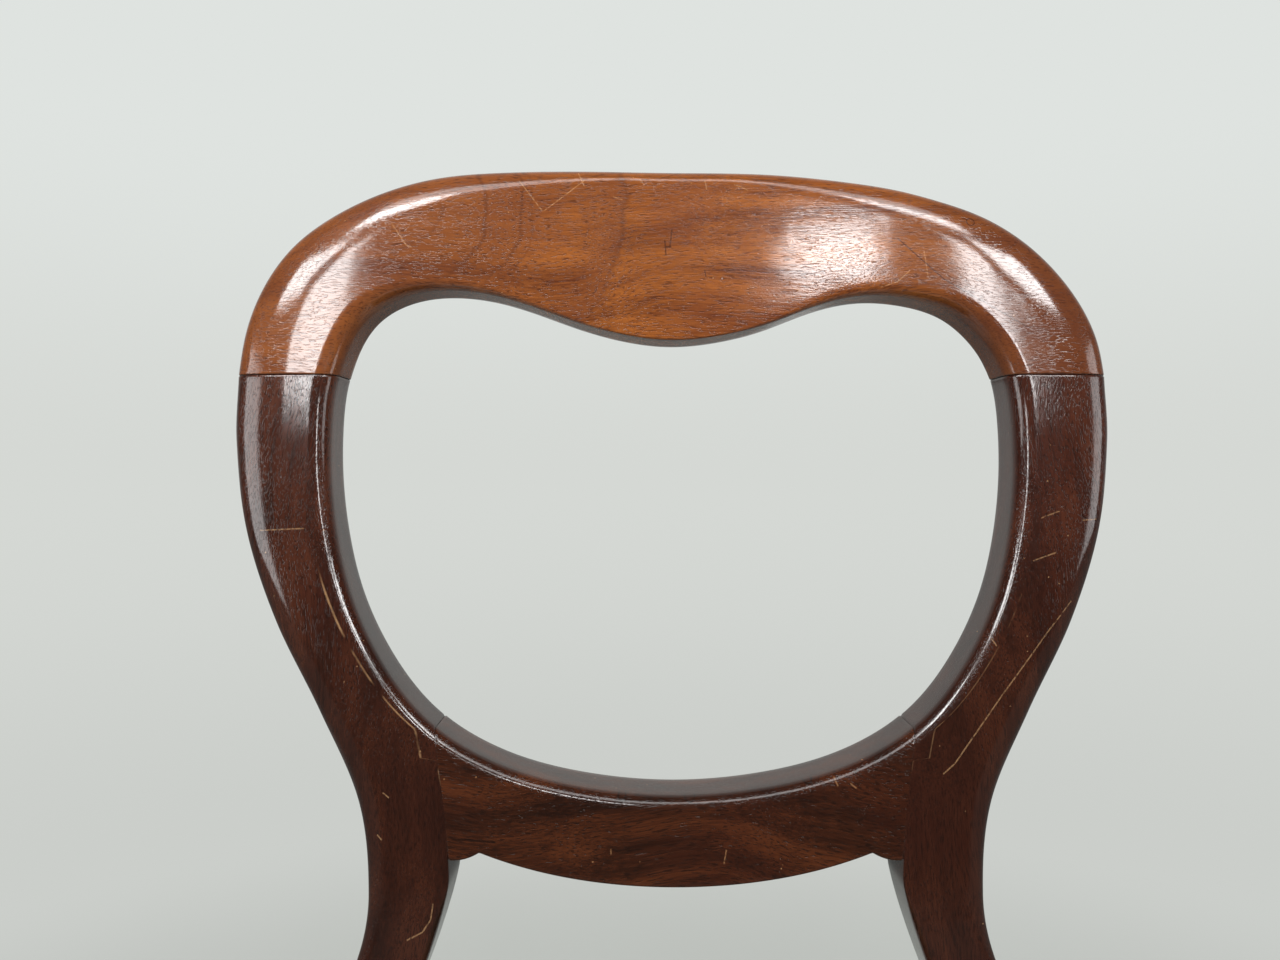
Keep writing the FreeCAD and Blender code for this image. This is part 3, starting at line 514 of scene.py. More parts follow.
# distances in from the outer edge at which a section is cut, across its front and then across its back:
# even angles over each rounding, even steps between
def sectionPlaces(width, outer, inner, arris):
    turn = np.linspace(0, np.pi / 2, 13)
    outerPart = outer[:, None] * (1 - np.cos(turn))[None]
    innerPart = width[:, None] - inner[:, None] * (1 - np.cos(turn[::-1]))[None]
    share = np.linspace(0, 1, 18)[None, 1:-1]
    middle = outerPart[:, -1:] + (innerPart[:, :1] - outerPart[:, -1:]) * share
    front = np.concatenate([outerPart, middle, innerPart], 1)
    small = arris * (1 - np.cos(np.linspace(0, np.pi / 2, 5)))
    inward = width[:, None] * (1 - np.linspace(0.12, 0.88, 12)[None])
    back = np.concatenate([width[:, None] - small[None], inward, small[::-1][None] + 0 * width[:, None]], 1)
    return front, back


# rings round a section from its outer to its inner point: y is the face's set-back plus the quarter-oval
# drops of both roundings, then the inner wall, the back with its arrises, and the outer wall.
# rubs are how worn the outer and inner front edges are, ring by ring
def backRings(outer, inner, faceAt, thickness, outerSize, innerSize, extraDrop, arris, rubs):
    run = inner - outer
    width = np.hypot(run[:, 0], run[:, 1])
    run = run / width[:, None]
    front, back = sectionPlaces(width, outerSize[0], innerSize[0], arris)

    def spot(along):
        return outer[:, 0, None] + run[:, 0, None] * along, outer[:, 1, None] + run[:, 1, None] * along
    x, z = spot(front)
    y = (faceAt(x, z) + ovalDrop(front, outerSize[0][:, None], outerSize[1][:, None])
         + ovalDrop(width[:, None] - front, innerSize[0][:, None], innerSize[1][:, None]) + extraDrop(x, z))
    bx, bz = spot(back)
    by = faceAt(bx, bz) + thickness[:, None] - ovalDrop(np.minimum(back, width[:, None] - back), arris, arris)

    def wall(i, j):
        share = np.linspace(0, 1, 7)[None, 1:-1]
        return np.stack([x[:, i, None] + 0 * share, y[:, i, None] + (by[:, j, None] - y[:, i, None]) * share,
                         z[:, i, None] + 0 * share], 2)
    rings = np.concatenate([np.stack([x, y, z], 2), wall(-1, 0), np.stack([bx, by, bz], 2),
                            wall(0, -1)[:, ::-1]], 1)
    count, around = rings.shape[:2]
    onFront = np.zeros((count, around, 1))
    onFront[:, :front.shape[1]] = 1
    rubbed = np.zeros((count, around, 1))
    fromInner = width[:, None] - innerSize[0][:, None] - front
    rubbed[:, :front.shape[1], 0] = (rubs[0][:, None] * np.exp(-(front / 1.2) ** 2)
                                     + rubs[1][:, None] * np.exp(-(fromInner / 1.1) ** 2))
    rings[:, :, 1] += shiftBack
    return rings * mm, {"onFront": onFront, "rubbed": rubbed, "darkLines": np.zeros((count, around, 1))}


# draws the first and last rings in towards their middles as a small rounding, and marks a glued joint there
def easeEnds(rings, values, first, last):
    for end, arris in ((0, first), (-1, last)):
        away = rings[end] - rings[end].mean(0)
        rings[end] -= away / np.linalg.norm(away, axis=1)[:, None] * abs(arris) * mm
        values["darkLines"][end] = 1.0 if arris > 0 else 0.0


# the piece stands for a CAD node and rides on its body. The slot is not used
def dress(piece, body, slot, *nodes):
    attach(piece, body)
    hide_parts(*nodes)
    return piece


# level sections from the foot up to the crest joint; above the cusps the front edge follows the hoop
def buildBackLeg(name, side, material):
    f = backForm
    joint = f["crestJoint"] - f["jointGap"] / 2
    z = np.concatenate([[0, 1.2], np.linspace(2.5, 480, 108)[:-1], np.linspace(480, joint - 2, 240),
                        [joint - 1.2, joint - 0.5, joint]])
    outer = smoothAt(legOuter, z)
    rising = hoopEdge[(hoopEdge[:, 0] > 60) & (hoopEdge[:, 1] < 790)]
    hoopX = np.interp(z, rising[:, 1], rising[:, 0], left=0, right=0)
    inner = np.maximum(smoothAt(legInner, z), hoopX)
    freeEdge = smoothAt([(0, 3), (530, 3), (552, 0.5), (772, 0.5)], z)
    rounding = smoothAt(f["openingRound"], z)

    def extra(x, zz):
        near = np.where(zz > 570, distanceTo(hoopEdge, x, zz), 99)
        return ovalDrop(near, rounding[:, None], rounding[:, None])
    onHoop = z > 600
    innerWidth = np.maximum(freeEdge, np.where(onHoop, rounding * 1.4, 0.5))
    stretch = np.clip((z - 600) / 25, 0, 1) * np.clip((735 - z) / 20, 0, 1)
    knee = np.clip((z - 470) / 20, 0, 1) * np.clip((560 - z) / 20, 0, 1)
    outerRub = (stretch + 0.7 * knee) if side < 0 else 0.3 * knee
    innerRub = np.clip((z - 575) / 20, 0, 1) * np.clip((700 - z) / 30, 0, 1) * (0.9 if side < 0 else 0.7)
    outerSize = smoothAt(outerRound, z), smoothAt(outerRoundDepth, z)
    innerSize = innerWidth, np.where(onHoop, 1e-6, freeEdge)
    rings, values = backRings(
        np.stack([outer, z], 1), np.stack([inner, z], 1), lambda x, zz: frontOf(zz),
        smoothAt(legThickness, z), outerSize, innerSize, extra, f["arris"], (outerRub, innerRub))
    easeEnds(rings, values, -1.2, f["jointArris"])
    rings[:, :, 0] *= side
    return ringPiece(name, rings, material, values)


# sections that fan round each shoulder and stand upright between the two pivots
def buildCrest(material):
    f = backForm
    joint = f["crestJoint"]
    outerRun, innerRun = naturalCurve(crestOuter, 3000), naturalCurve(crestInner, 3000)
    low, high = crestPivots
    fan = np.concatenate([[0.0007, 0.006, 0.014], np.linspace(0.03, np.pi / 2, 80)])
    stations = [(low, fan[:-1]), (None, np.linspace(low, high, 150)), (high, np.pi - fan[::-1][1:])]

    def places(run):
        points = []
        for pivot, targets in stations:
            if pivot is None:
                part = run[(run[:, 1] > joint + 15) & (np.abs(run[:, 0]) < 150)]
                measure = part[:, 0]
            else:
                part = run[run[:, 0] * np.sign(pivot) > abs(pivot) - 40]
                measure = np.pi - np.arctan2(part[:, 1] - joint, part[:, 0] - pivot)
            order = np.argsort(measure)
            points.append(np.stack([np.interp(targets, measure[order], part[order, i]) for i in (0, 1)], 1))
        return np.concatenate(points)
    outer, inner = places(outerRun), places(innerRun)
    half, depth = f["crestHollow"]
    along = np.abs(outer[:, 0] + inner[:, 0]) / 2 / half
    side = np.clip((along - 0.15) / 0.85, 0, 1) ** 1.5
    width = f["crestRound"] + (f["shoulderRound"][0] - f["crestRound"]) * side
    deep = f["crestRound"] + (f["shoulderRound"][1] - f["crestRound"]) * side
    edge = f["openingRoundCrest"] + (f["openingRound"][-1][1] - f["openingRoundCrest"]) * side
    left = np.clip((-outer[:, 0] - 185) / 20, 0, 1)
    rings, values = backRings(
        outer, inner, lambda x, z: frontOf(z) + hollow(x, half, depth), np.full(len(outer), f["thickness"]),
        (width, deep), (edge, edge), lambda x, z: 0 * x, f["arris"], (0.5 * left, 0 * left))
    # a dark line lies about four millimetres below the top, over its middle
    values["darkLines"][:, f["darkLineRow"], 0] = f["darkLineStrength"] * np.clip((125 - np.abs(outer[:, 0])) / 20, 0, 1)
    easeEnds(rings, values, f["jointArris"], f["jointArris"])
    return ringPiece("crest_rail_polished", rings, material, values)


# sections stand from the hoop's edge down to the bowed lower edge, and lean with the joints at the ends;
# the lower edge is a circle's arc between the cusps, with a small parabola beyond each
def buildCrossRail(material):
    f = backForm
    cusp, cuspHigh = f["cusp"]
    u = np.unique(np.concatenate([np.linspace(-1, 1, 181), [-0.996, 0.996]]))
    lower = hoopEdge[hoopEdge[:, 1] < 640]
    radius = (cusp ** 2 + f["bowDrop"] ** 2) / 2 / f["bowDrop"]
    endHalf = smoothAt(legInner, cuspHigh - f["lobeDrop"]) - f["jointGap"]

    def bottom(x):
        bow = cuspHigh - f["bowDrop"] + radius - np.sqrt(radius ** 2 - np.minimum(np.abs(x), cusp) ** 2)
        share = np.clip((np.abs(x) - cusp) / (endHalf - cusp), 0, 1)
        lobe = cuspHigh - f["lobeDrop"] * share - f["lobeBelly"] * 4 * share * (1 - share)
        return np.where(np.abs(x) <= cusp, bow, lobe)

    def jointAt(z):
        return u * (smoothAt(legInner, z) - f["jointGap"])
    high, low = np.full(len(u), 600.0), np.full(len(u), 560.0)
    for again in range(12):
        high = np.interp(jointAt(high), lower[:, 0], lower[:, 1])
        low = bottom(jointAt(low))
    rounding = smoothAt(f["openingRound"], high)
    small = np.full(len(u), 0.8)
    half, depth = f["railHollow"]
    ridge = np.clip((np.abs(u) - 0.3) / 0.3, 0, 1) * 0.6
    rings, values = backRings(
        np.stack([jointAt(high), high], 1), np.stack([jointAt(low), low], 1),
        lambda x, z: frontOf(z) + hollow(x, half, depth), np.full(len(u), f["thickness"]),
        (rounding * 1.3, np.full(len(u), 1e-6)), (small, small),
        lambda x, z: ovalDrop(distanceTo(hoopEdge, x, z), rounding[:, None], rounding[:, None]),
        f["arris"], (0 * u, 0 * u))
    values["rubbed"][:, 10:15, 0] = ridge[:, None] * np.array([0.3, 0.6, 0.8, 0.6, 0.3])[None]
    easeEnds(rings, values, f["jointArris"], f["jointArris"])
    return ringPiece("cross_rail_polished", rings, material, values)


dress(buildCrest(crestMahogany), "chair_frame", "crest_mahogany", "crest_rail")
dress(buildBackLeg("back_leg_left_polished", -1, stileMahogany), "chair_frame", "mahogany", "back_leg_left")
dress(buildBackLeg("back_leg_right_polished", 1, stileMahogany), "chair_frame", "mahogany", "back_leg_right")
dress(buildCrossRail(railMahogany), "chair_frame", "mahogany", "cross_rail")
print("balloon back made")


# Seat rails, front legs and inner joinery keep their CAD forms and get their own finishes
frameWood = {
    "dark": "#28110a", "middle": "#452013", "light": "#5c3120", "red": "#38160e", "pores": "#180906",
    "redness": 0.4, "rubbed": "#a87c54",
}


# Beech, planed and left bare: pale pinkish tan, even, with short brown flecks about 2 mm long
# Birch dowels are paler and have no flecks
def paleWood(name, p):
    material, tree, shader = newMaterial(name, {"Specular IOR Level": 0.35})
    place = millimetres(tree)
    x, y, z = add(tree, "SeparateXYZ", (place,)).node.outputs
    board = add(tree, "CombineXYZ", [{"X": x, "Y": y, "Z": z}[letter] for letter in p["along"]])
    bands = patches(tree, board, (160, 7, 7), 3.0, 0.6)
    fibres = patches(tree, board, (25, 0.7, 0.7))
    flecks = add(tree, "MapRange", (patches(tree, board, (2.4, 0.5, 0.5), 0.0), 0.62, 0.72), **smooth)
    tone = add(tree, "Math", (fibres, 0.4), operation="MULTIPLY")
    tone = add(tree, "Math", (bands, 0.6, tone), operation="MULTIPLY_ADD")
    colour = add(tree, "ValToRGB", (tone,), stops=[(0.36, p["dark"]), (0.5, p["middle"]), (0.64, p["light"])])
    grime = add(tree, "MapRange", (patches(tree, place, (45,) * 3), 0.5, 0.75), **smooth)
    colour = layColours(tree, colour, [(p["dark"], p["fleck"], flecks), (p["grime"], 0.45, grime)])
    rough = add(tree, "MapRange", (fibres, 0.3, 0.7, 0.55, 0.75), **smooth)
    finishShader(tree, shader, colour, rough, add(tree, "Math", (fibres, 0.05), operation="MULTIPLY"))
    return material


# Steel: screws are turned and have dulled; cut tacks are blued by heat, with brown rust specks
def steel(name, p):
    material, tree, shader = newMaterial(name, {"Metallic": 1.0})
    place = millimetres(tree)
    tone = patches(tree, place, (4,) * 3)
    colour = add(tree, "ValToRGB", (tone,), stops=[(0.3, p["dark"]), (0.7, p["light"])])
    rust = add(tree, "MapRange", (patches(tree, place, (1.6,) * 3, 3.0), 0.52, 0.66), **smooth)
    colour = layColours(tree, colour, [("#5a3520", p["rust"], rust)])
    rough = add(tree, "MapRange", (tone, 0.3, 0.7, p["rough"] - 0.08, p["rough"] + 0.12), **smooth)
    finishShader(tree, shader, colour, rough, add(tree, "Math", (tone, 0.02), operation="MULTIPLY"))
    return material


# Plain woven cloth: threads at an even pitch along X and along Y, each crest half a turn from the next,
# height = the larger of the two threads' half sines where each lies on top. looseness, in millimetres,
# lets the threads wander
def weaveHeight(tree, place, pitch, looseness):
    wobble = add(tree, "TexNoise", {"Vector": place, "Scale": 1 / 9, "Detail": 2.0}, "Color")
    wobble = add(tree, "VectorMath", (wobble, (0.5,) * 3), operation="SUBTRACT")
    place = add(tree, "VectorMath", (wobble, (looseness,) * 3, place), operation="MULTIPLY_ADD")
    turns = add(tree, "VectorMath", (place, (math.pi / pitch,) * 3), operation="MULTIPLY")
    x, y, _ = add(tree, "SeparateXYZ", (turns,)).node.outputs
    sines = [add(tree, "Math", (turn,), operation="SINE") for turn in (x, y)]
    rows = []
    for thread, other, side in ((*sines, 1.0), (*sines[::-1], -1.0)):
        lift = add(tree, "Math", (other, add(tree, "Math", (thread,), operation="SIGN")), operation="MULTIPLY")
        lift = add(tree, "Math", (lift, side, 1.0), operation="MULTIPLY_ADD")
        width = add(tree, "Math", (thread,), operation="ABSOLUTE")
        rows.append(add(tree, "Math", (width, lift), operation="MULTIPLY"))
    highest = add(tree, "Math", rows, operation="MAXIMUM")
    return add(tree, "Math", (highest, 0.5), operation="MULTIPLY")


# Cloth: wool rep, jute hessian and cotton calico differ in pitch, hairiness and colour. Thread pitches are
# about one and a half times the real ones, so that the weave shows
def cloth(name, p):
    material, tree, shader = newMaterial(name, {"Specular IOR Level": 0.2, "Sheen Weight": p["sheen"],
                                                "Sheen Roughness": 0.45})
    place = millimetres(tree)
    threads = weaveHeight(tree, place, p["pitch"], p["loose"])
    slub = patches(tree, place, (30, p["pitch"] * 1.5, 30))
    tone = add(tree, "Math", (slub, 0.55), operation="MULTIPLY")
    tone = add(tree, "Math", (threads, 0.45, tone), operation="MULTIPLY_ADD")
    colour = add(tree, "ValToRGB", (tone,), stops=[(0.15, p["dark"]), (0.5, p["middle"]), (0.85, p["light"])])
    faded = add(tree, "MapRange", (patches(tree, place, (80,) * 3), 0.4, 0.7), **smooth)
    colour = layColours(tree, colour, [(p["light"], p["faded"], faded)])
    rough = add(tree, "MapRange", (slub, 0.2, 0.8, 0.8, 0.95), **smooth)
    finishShader(tree, shader, colour, rough, add(tree, "Math", (threads, p["relief"]), operation="MULTIPLY"))
    return material


# Jute webbing, woven in a herringbone: the diagonal ribs change direction every 6 mm across.
# Its place on the strap is (across, along) in millimetres, carried by the piece
def webbingCloth(name, p):
    material, tree, shader = newMaterial(name, {"Specular IOR Level": 0.2, "Sheen Weight": 0.15,
                                                "Sheen Roughness": 0.5})
    place = add(tree, "Attribute", out="Vector", attribute_name="strapPlace")
    across, along, _ = add(tree, "SeparateXYZ", (place,)).node.outputs
    zigzag = add(tree, "Math", (across, p["herringbone"]), operation="PINGPONG")
    rib = add(tree, "Math", (zigzag, along), operation="ADD")
    rib = add(tree, "Math", (rib, 2 * math.pi / p["rib"]), operation="MULTIPLY")
    rib = add(tree, "Math", (rib,), operation="SINE")
    rib = add(tree, "Math", (rib, 0.5, 0.5), operation="MULTIPLY_ADD")
    threads = add(tree, "Math", (across, 2 * math.pi / p["thread"]), operation="MULTIPLY")
    threads = add(tree, "Math", (threads,), operation="SINE")
    slub = patches(tree, place, (1.5, 20, 1))
    tone = add(tree, "Math", (rib, slub), operation="ADD")
    tone = add(tree, "Math", (tone, 0.5), operation="MULTIPLY")
    colour = add(tree, "ValToRGB", (tone,), stops=[(0.2, p["dark"]), (0.5, p["middle"]), (0.8, p["light"])])
    out = add(tree, "Math", (across,), operation="ABSOLUTE")
    near, far = p["stripe"]
    starts = add(tree, "MapRange", (out, near - 0.4, near), **smooth)
    ends = add(tree, "MapRange", (out, far, far + 0.4, 1.0, 0.0), **smooth)
    colour = layColours(tree, colour, [(p["stripeColour"], 0.85, starts, ends)])
    rough = add(tree, "MapRange", (slub, 0.2, 0.8, 0.8, 0.95), **smooth)
    height = add(tree, "Math", (threads, 0.05), operation="MULTIPLY")
    height = add(tree, "Math", (rib, 0.22, height), operation="MULTIPLY_ADD")
    finishShader(tree, shader, colour, rough, height)
    return material


# Curled horsehair under cotton wadding: a felted grey-white mat with dark hairs showing through
def waddingCloth(name, p):
    material, tree, shader = newMaterial(name, {"Specular IOR Level": 0.1, "Sheen Weight": 0.2,
                                                "Sheen Roughness": 0.6})
    place = millimetres(tree)
    tufts = patches(tree, place, (5,) * 3, 4.0, 0.7)
    hairs = add(tree, "MapRange", (patches(tree, place, (1.2, 7, 1.2)), 0.58, 0.64), **smooth)
    colour = add(tree, "ValToRGB", (tufts,), stops=[(0.3, p["dark"]), (0.7, p["light"])])
    colour = layColours(tree, colour, [(p["hair"], 0.7, hairs)])
    rough = add(tree, "MapRange", (tufts, 0.2, 0.8, 0.85, 1.0), **smooth)
    finishShader(tree, shader, colour, rough, tufts)
    return material


# a CAD node keeps its form and takes the material in each of its object's slots
def finishNodes(material, *names):
    for name in names:
        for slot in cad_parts[name].material_slots:
            slot.material = material


beechWood = {"dark": "#9a7148", "middle": "#b98f62", "light": "#cda878", "fleck": 0.7, "grime": "#7a5a3c"}
birchWood = {"dark": "#b99a6a", "middle": "#cdb183", "light": "#dcc59b", "fleck": 0.0, "grime": "#8a6e48"}
screwSteel = {"dark": "#6d6a66", "light": "#a5a29c", "rust": 0.35, "rough": 0.38}
tackSteel = {"dark": "#1c222b", "light": "#3a4350", "rust": 0.5, "rough": 0.34}

acrossWood = mahogany("mahogany_front_rail_polished", {**frameWood, "along": "XZY"})
sideWood = mahogany("mahogany_side_rail_polished", {**frameWood, "along": "YZX"})
turnedWood = mahogany("mahogany_turned_leg_polished", {**frameWood, "along": "ZXY"})
finishNodes(acrossWood, "front_seat_rail", "rear_seat_rail")
finishNodes(sideWood, "side_seat_rail_left", "side_seat_rail_right")
finishNodes(turnedWood, "front_leg_left", "front_leg_right")
beechAcross = paleWood("beech_planed_across", {**beechWood, "along": "XYZ"})
beechSide = paleWood("beech_planed_side", {**beechWood, "along": "YXZ"})
birch = paleWood("birch_dowel_turned", {**birchWood, "along": "YXZ"})
finishNodes(beechAcross, "seat_frame_front", "seat_frame_back", "corner_block_front_left",
            "corner_block_front_right", "corner_block_rear_left", "corner_block_rear_right")
finishNodes(beechSide, "seat_frame_left", "seat_frame_right")
finishNodes(birch, "crest_dowels", "cross_rail_dowels", "seat_rail_dowels", "seat_frame_dowels")
finishNodes(steel("steel_screw_dulled", screwSteel), "corner_block_screws")
finishNodes(steel("steel_tack_blued", tackSteel), "tacks")
print("seat rails, legs and joinery finished")


# The drop-in seat, in millimetres. A level's outline is a trapezoid with rounded corners
seatForm = {
    "railLine": (160.5, 222.0),   # half width of the rails' outer faces at the back and at the front
    "lip": 14.0,
    "front": -383.0,
    "clearance": 1.5,
    "cover": 1.0,
    "coverSlack": 0.3,
    "corner": 8.0,
    "ledge": 431.0,
    "frameTop": 452.0,
    "edgeRise": 10.0,
    "crown": 16.0,
    "edgeRound": 9.0,
    "turnUnder": 20.0,
    "calicoUnder": 14.0,
    "padFoot": 455.5,   # the stuffing and the hessian lie on the webbing at these heights
    "matHeight": 455.05,
    "matWave": 0.12,
    "coverCut": (0.52, 0.5),   # flat sizes in metres
    "calicoCut": (0.51, 0.49),
    "coverWall": 0.0007,
    "calicoWall": 0.0003,
    "hessianWall": 0.0008,
}


# half width of the seat at a distance back, inset from the pocket by so much
def seatHalf(y, inset):
    back, front = seatForm["railLine"]
    length = math.hypot(front - back, seatDepth)
    inwardX, inwardY = -seatDepth / length, -(front - back) / length
    depth = seatForm["lip"] + inset
    return back + inwardX * depth - (y - inwardY * depth) * (front - back) / seatDepth


# the outline at an inset as (points, 2): four arcs of the corners' radius joined by straight sides
def seatOutline(inset, sidePoints=36):
    rear, front = -inset, seatForm["front"] + inset
    corners = np.array([(seatHalf(rear, inset), rear), (seatHalf(front, inset), front),
                        (-seatHalf(front, inset), front), (-seatHalf(rear, inset), rear)])
    radius = max(seatForm["corner"] - inset, 2.0)
    arcs = []
    for i in range(4):
        here = corners[i]
        back, on = corners[i - 1] - here, corners[(i + 1) % 4] - here
        back, on = back / np.hypot(*back), on / np.hypot(*on)
        half = math.acos(float(back @ on)) / 2
        middle = here + (back + on) / np.hypot(*(back + on)) * radius / math.sin(half)
        start, end = [here + way * radius / math.tan(half) - middle for way in (back, on)]
        first, last = math.atan2(start[1], start[0]), math.atan2(end[1], end[0])
        last = first + (last - first + math.pi) % (2 * math.pi) - math.pi
        t = np.linspace(first, last, 9)
        arcs.append(middle + radius * np.stack([np.cos(t), np.sin(t)], 1))
    runs = []
    for i in range(4):
        share = np.linspace(0, 1, sidePoints + 2)[1:-1, None]
        runs += [arcs[i], arcs[i][-1] + (arcs[(i + 1) % 4][0] - arcs[i][-1]) * share]
    return np.concatenate(runs)


# height of the crowned top: the crown times (1 - |u|^2.4)(1 - |v|^2.4), over the edge's height
def crownHeight(points, inset, lowered):
    f = seatForm
    rear, front = -inset, f["front"] + inset
    v = (points[..., 1] - (rear + front) / 2) / ((rear - front) / 2)
    u = points[..., 0] / seatHalf(points[..., 1], inset)
    bulge = (1 - np.clip(np.abs(u), 0, 1) ** 2.4) * (1 - np.clip(np.abs(v), 0, 1) ** 2.4)
    return f["frameTop"] + f["edgeRise"] - lowered + f["crown"] * bulge


# rings of a crowned pad from the middle of its top, over the rounded edge and down to bottom;
# under is how far its skin turns in underneath, and a closed pad goes on to the middle of its underside
def padRings(inset, lowered, bottom, under, closed):
    f = seatForm
    rounding = f["edgeRound"] - lowered
    edge, shoulder = seatOutline(inset), seatOutline(inset + rounding)
    middle = np.array([0.0, edge[:, 1].mean()])
    rings = []
    for share in np.linspace(0.02, 1, 42)[:-1]:
        flat = middle + (shoulder - middle) * share
        rings.append(np.column_stack([flat, crownHeight(flat, inset, lowered)]))
    for angle in np.linspace(0, np.pi / 2, 9):
        flat = shoulder + (edge - shoulder) * math.sin(angle)
        high = crownHeight(flat, inset, lowered) - rounding * (1 - math.cos(angle))
        rings.append(np.column_stack([flat, high]))
    low = rings[-1][:, 2].mean()
    for z in np.linspace(low, bottom + 1.0, 7)[1:]:
        rings.append(np.column_stack([edge, np.full(len(edge), z)]))
    rings.append(np.column_stack([seatOutline(inset + 1.0), np.full(len(edge), bottom)]))
    for depth in np.linspace(1, under, 5)[1:]:
        rings.append(np.column_stack([seatOutline(inset + depth), np.full(len(edge), bottom)]))
    if closed:
        last = rings[-1][:, :2]
        for share in (0.8, 0.6, 0.4, 0.2, 0.05):
            rings.append(np.column_stack([middle + (last - middle) * share, np.full(len(edge), bottom)]))
    rings = np.array(rings)
    rings[:, :, 1] += shiftBack
    return rings * mm


coverCloth = cloth("wool_rep_woven", {
    "dark": "#12261b", "middle": "#1d3a2a", "light": "#2f5440", "pitch": 1.1, "loose": 0.3, "relief": 0.22,
    "sheen": 0.25, "faded": 0.25})
hessianCloth = cloth("jute_hessian_woven", {
    "dark": "#6b5230", "middle": "#9a7b4c", "light": "#bb9c68", "pitch": 2.2, "loose": 1.2, "relief": 0.45,
    "sheen": 0.05, "faded": 0.3})
calicoCloth = cloth("cotton_calico_woven", {
    "dark": "#b3a888", "middle": "#cfc5a8", "light": "#e2dac2", "pitch": 0.9, "loose": 0.2, "relief": 0.1,
    "sheen": 0.05, "faded": 0.3})
strapCloth = webbingCloth("jute_webbing_herringbone", {
    "dark": "#7d6240", "middle": "#a98b5e", "light": "#c6aa7c", "herringbone": 6.0, "rib": 2.4, "thread": 1.2,
    "stripe": (17.0, 20.0), "stripeColour": "#5b2a22"})
wadding = waddingCloth("wadding_felted", {"dark": "#a39b8a", "light": "#d8d2c2", "hair": "#3a322a"})

padCloth = {
    "voxel": 0.0055,
    "pressure": 4.0,
    "frames": 20,
    "cap": 0.005,
    "heldBelow": 0.453,  # the frame, the rails' pocket and the tacks hold the cloth up to here
}


# blows a closed pad up like a tight cushion: a cloth held below a height, under inner pressure,
# each point then moved no further than the cap
def puff(piece, p):
    form = bpy.data.objects.new("tightForm", piece.data.copy())
    scene.collection.objects.link(form)
    remesh = piece.modifiers.new("remesh", "REMESH")
    remesh.mode, remesh.voxel_size = "VOXEL", p["voxel"]
    bakeModifiers(piece)
    start = pointsOf(piece.data)
    held = piece.vertex_groups.new(name="held")
    held.add([int(i) for i in np.nonzero(start[:, 2] < p["heldBelow"])[0]], 1.0, "REPLACE")
    soft = piece.modifiers.new("cloth", "CLOTH")
    soft.settings.use_pressure = True
    soft.settings.uniform_pressure_force = p["pressure"]
    soft.settings.effector_weights.gravity = 0.0
    soft.settings.vertex_group_mass = "held"
    soft.point_cache.frame_start, soft.point_cache.frame_end = 1, p["frames"]
    for number in range(1, p["frames"] + 1):
        scene.frame_set(number)
    bakeModifiers(piece)
    scene.frame_set(1)
    move = pointsOf(piece.data) - start
    length = np.linalg.norm(move, axis=1)
    move *= np.minimum(1, p["cap"] / np.maximum(length, 1e-9))[:, None]
    piece.data.vertices.foreach_set("co", (start + move).ravel())
    piece.data.update()
    # where the cloth has drawn in at the edges it is brought back onto the tight form
    finer = piece.modifiers.new("finer", "SUBSURF")
    finer.levels = finer.render_levels = 1
    outside = piece.modifiers.new("outside", "SHRINKWRAP")
    outside.target, outside.wrap_mode = form, "OUTSIDE"
    bakeModifiers(piece)
    bpy.data.objects.remove(form)
    print("pad moved", round(float(length.max()) / mm, 1), "mm at most")


# the piece's mesh becomes what its modifiers make of it, and they go
def bakeModifiers(piece):
    graph = bpy.context.evaluated_depsgraph_get()
    graph.update()
    mesh = bpy.data.meshes.new_from_object(piece.evaluated_get(graph), depsgraph=graph)
    piece.modifiers.clear()
    piece.data = mesh
    mesh.polygons.foreach_set("use_smooth", np.ones(len(mesh.polygons), bool))


# keeps the faces that the test passes, as a new mesh
def keepFaces(piece, test):
    mesh = piece.data
    centres = np.zeros(len(mesh.polygons) * 3)
    mesh.polygons.foreach_get("center", centres)
    keep = test(centres.reshape(-1, 3))
    points = pointsOf(mesh)
    faces = [list(face.vertices) for face, wanted in zip(mesh.polygons, keep) if wanted]
    used = np.unique(np.concatenate([np.array(face) for face in faces]))
    place = np.zeros(len(points), int)
    place[used] = np.arange(len(used))
    new = bpy.data.meshes.new(mesh.name)
    new.from_pydata(points[used].tolist(), [], [place[face].tolist() for face in faces])
    new.materials.append(mesh.materials[0])
    new.polygons.foreach_set("use_smooth", np.ones(len(new.polygons), bool))
    piece.data = new


# gives an open skin its thickness, inwards
def giveWall(piece, thickness):
    wall = piece.modifiers.new("wall", "SOLIDIFY")
    wall.thickness, wall.offset = thickness, -1.0


# the tight cover: the blown-up pad, cut open underneath where it is tacked to the frame
def buildCover():
    f = seatForm
    slack = f["coverSlack"]
    rings = padRings(f["clearance"] + slack, slack, f["ledge"] + slack, f["turnUnder"], True)
    piece = ringPiece("seat_cover_wool", rings, coverCloth)
    puff(piece, padCloth)
    inner = f["turnUnder"] + f["clearance"]

    def kept(centres):
        x, y = np.abs(centres[:, 0]) / mm, centres[:, 1] / mm - shiftBack
        inside = (x < seatHalf(y, inner)) & (y < -inner) & (y > f["front"] + inner)
        return ~((centres[:, 2] < (f["ledge"] + 4) * mm) & inside)
    keepFaces(piece, kept)
    giveWall(piece, f["coverWall"])
    dress(piece, "drop_in_seat", "cover_cloth", "seat_cover")


# closes the small hole in the middle of an open form and turns its outside up
def capHole(piece, hole):
    mesh = piece.data
    points = pointsOf(mesh)
    faces = [list(face.vertices) for face in mesh.polygons] + [hole]
    new = bpy.data.meshes.new(mesh.name)
    new.from_pydata(points.tolist(), [], faces)
    new.materials.append(mesh.materials[0])
    new.polygons.foreach_set("use_smooth", np.ones(len(new.polygons), bool))
    new.update()
    if new.polygons[-1].normal.z < 0:
        new.flip_normals()
    piece.data = new


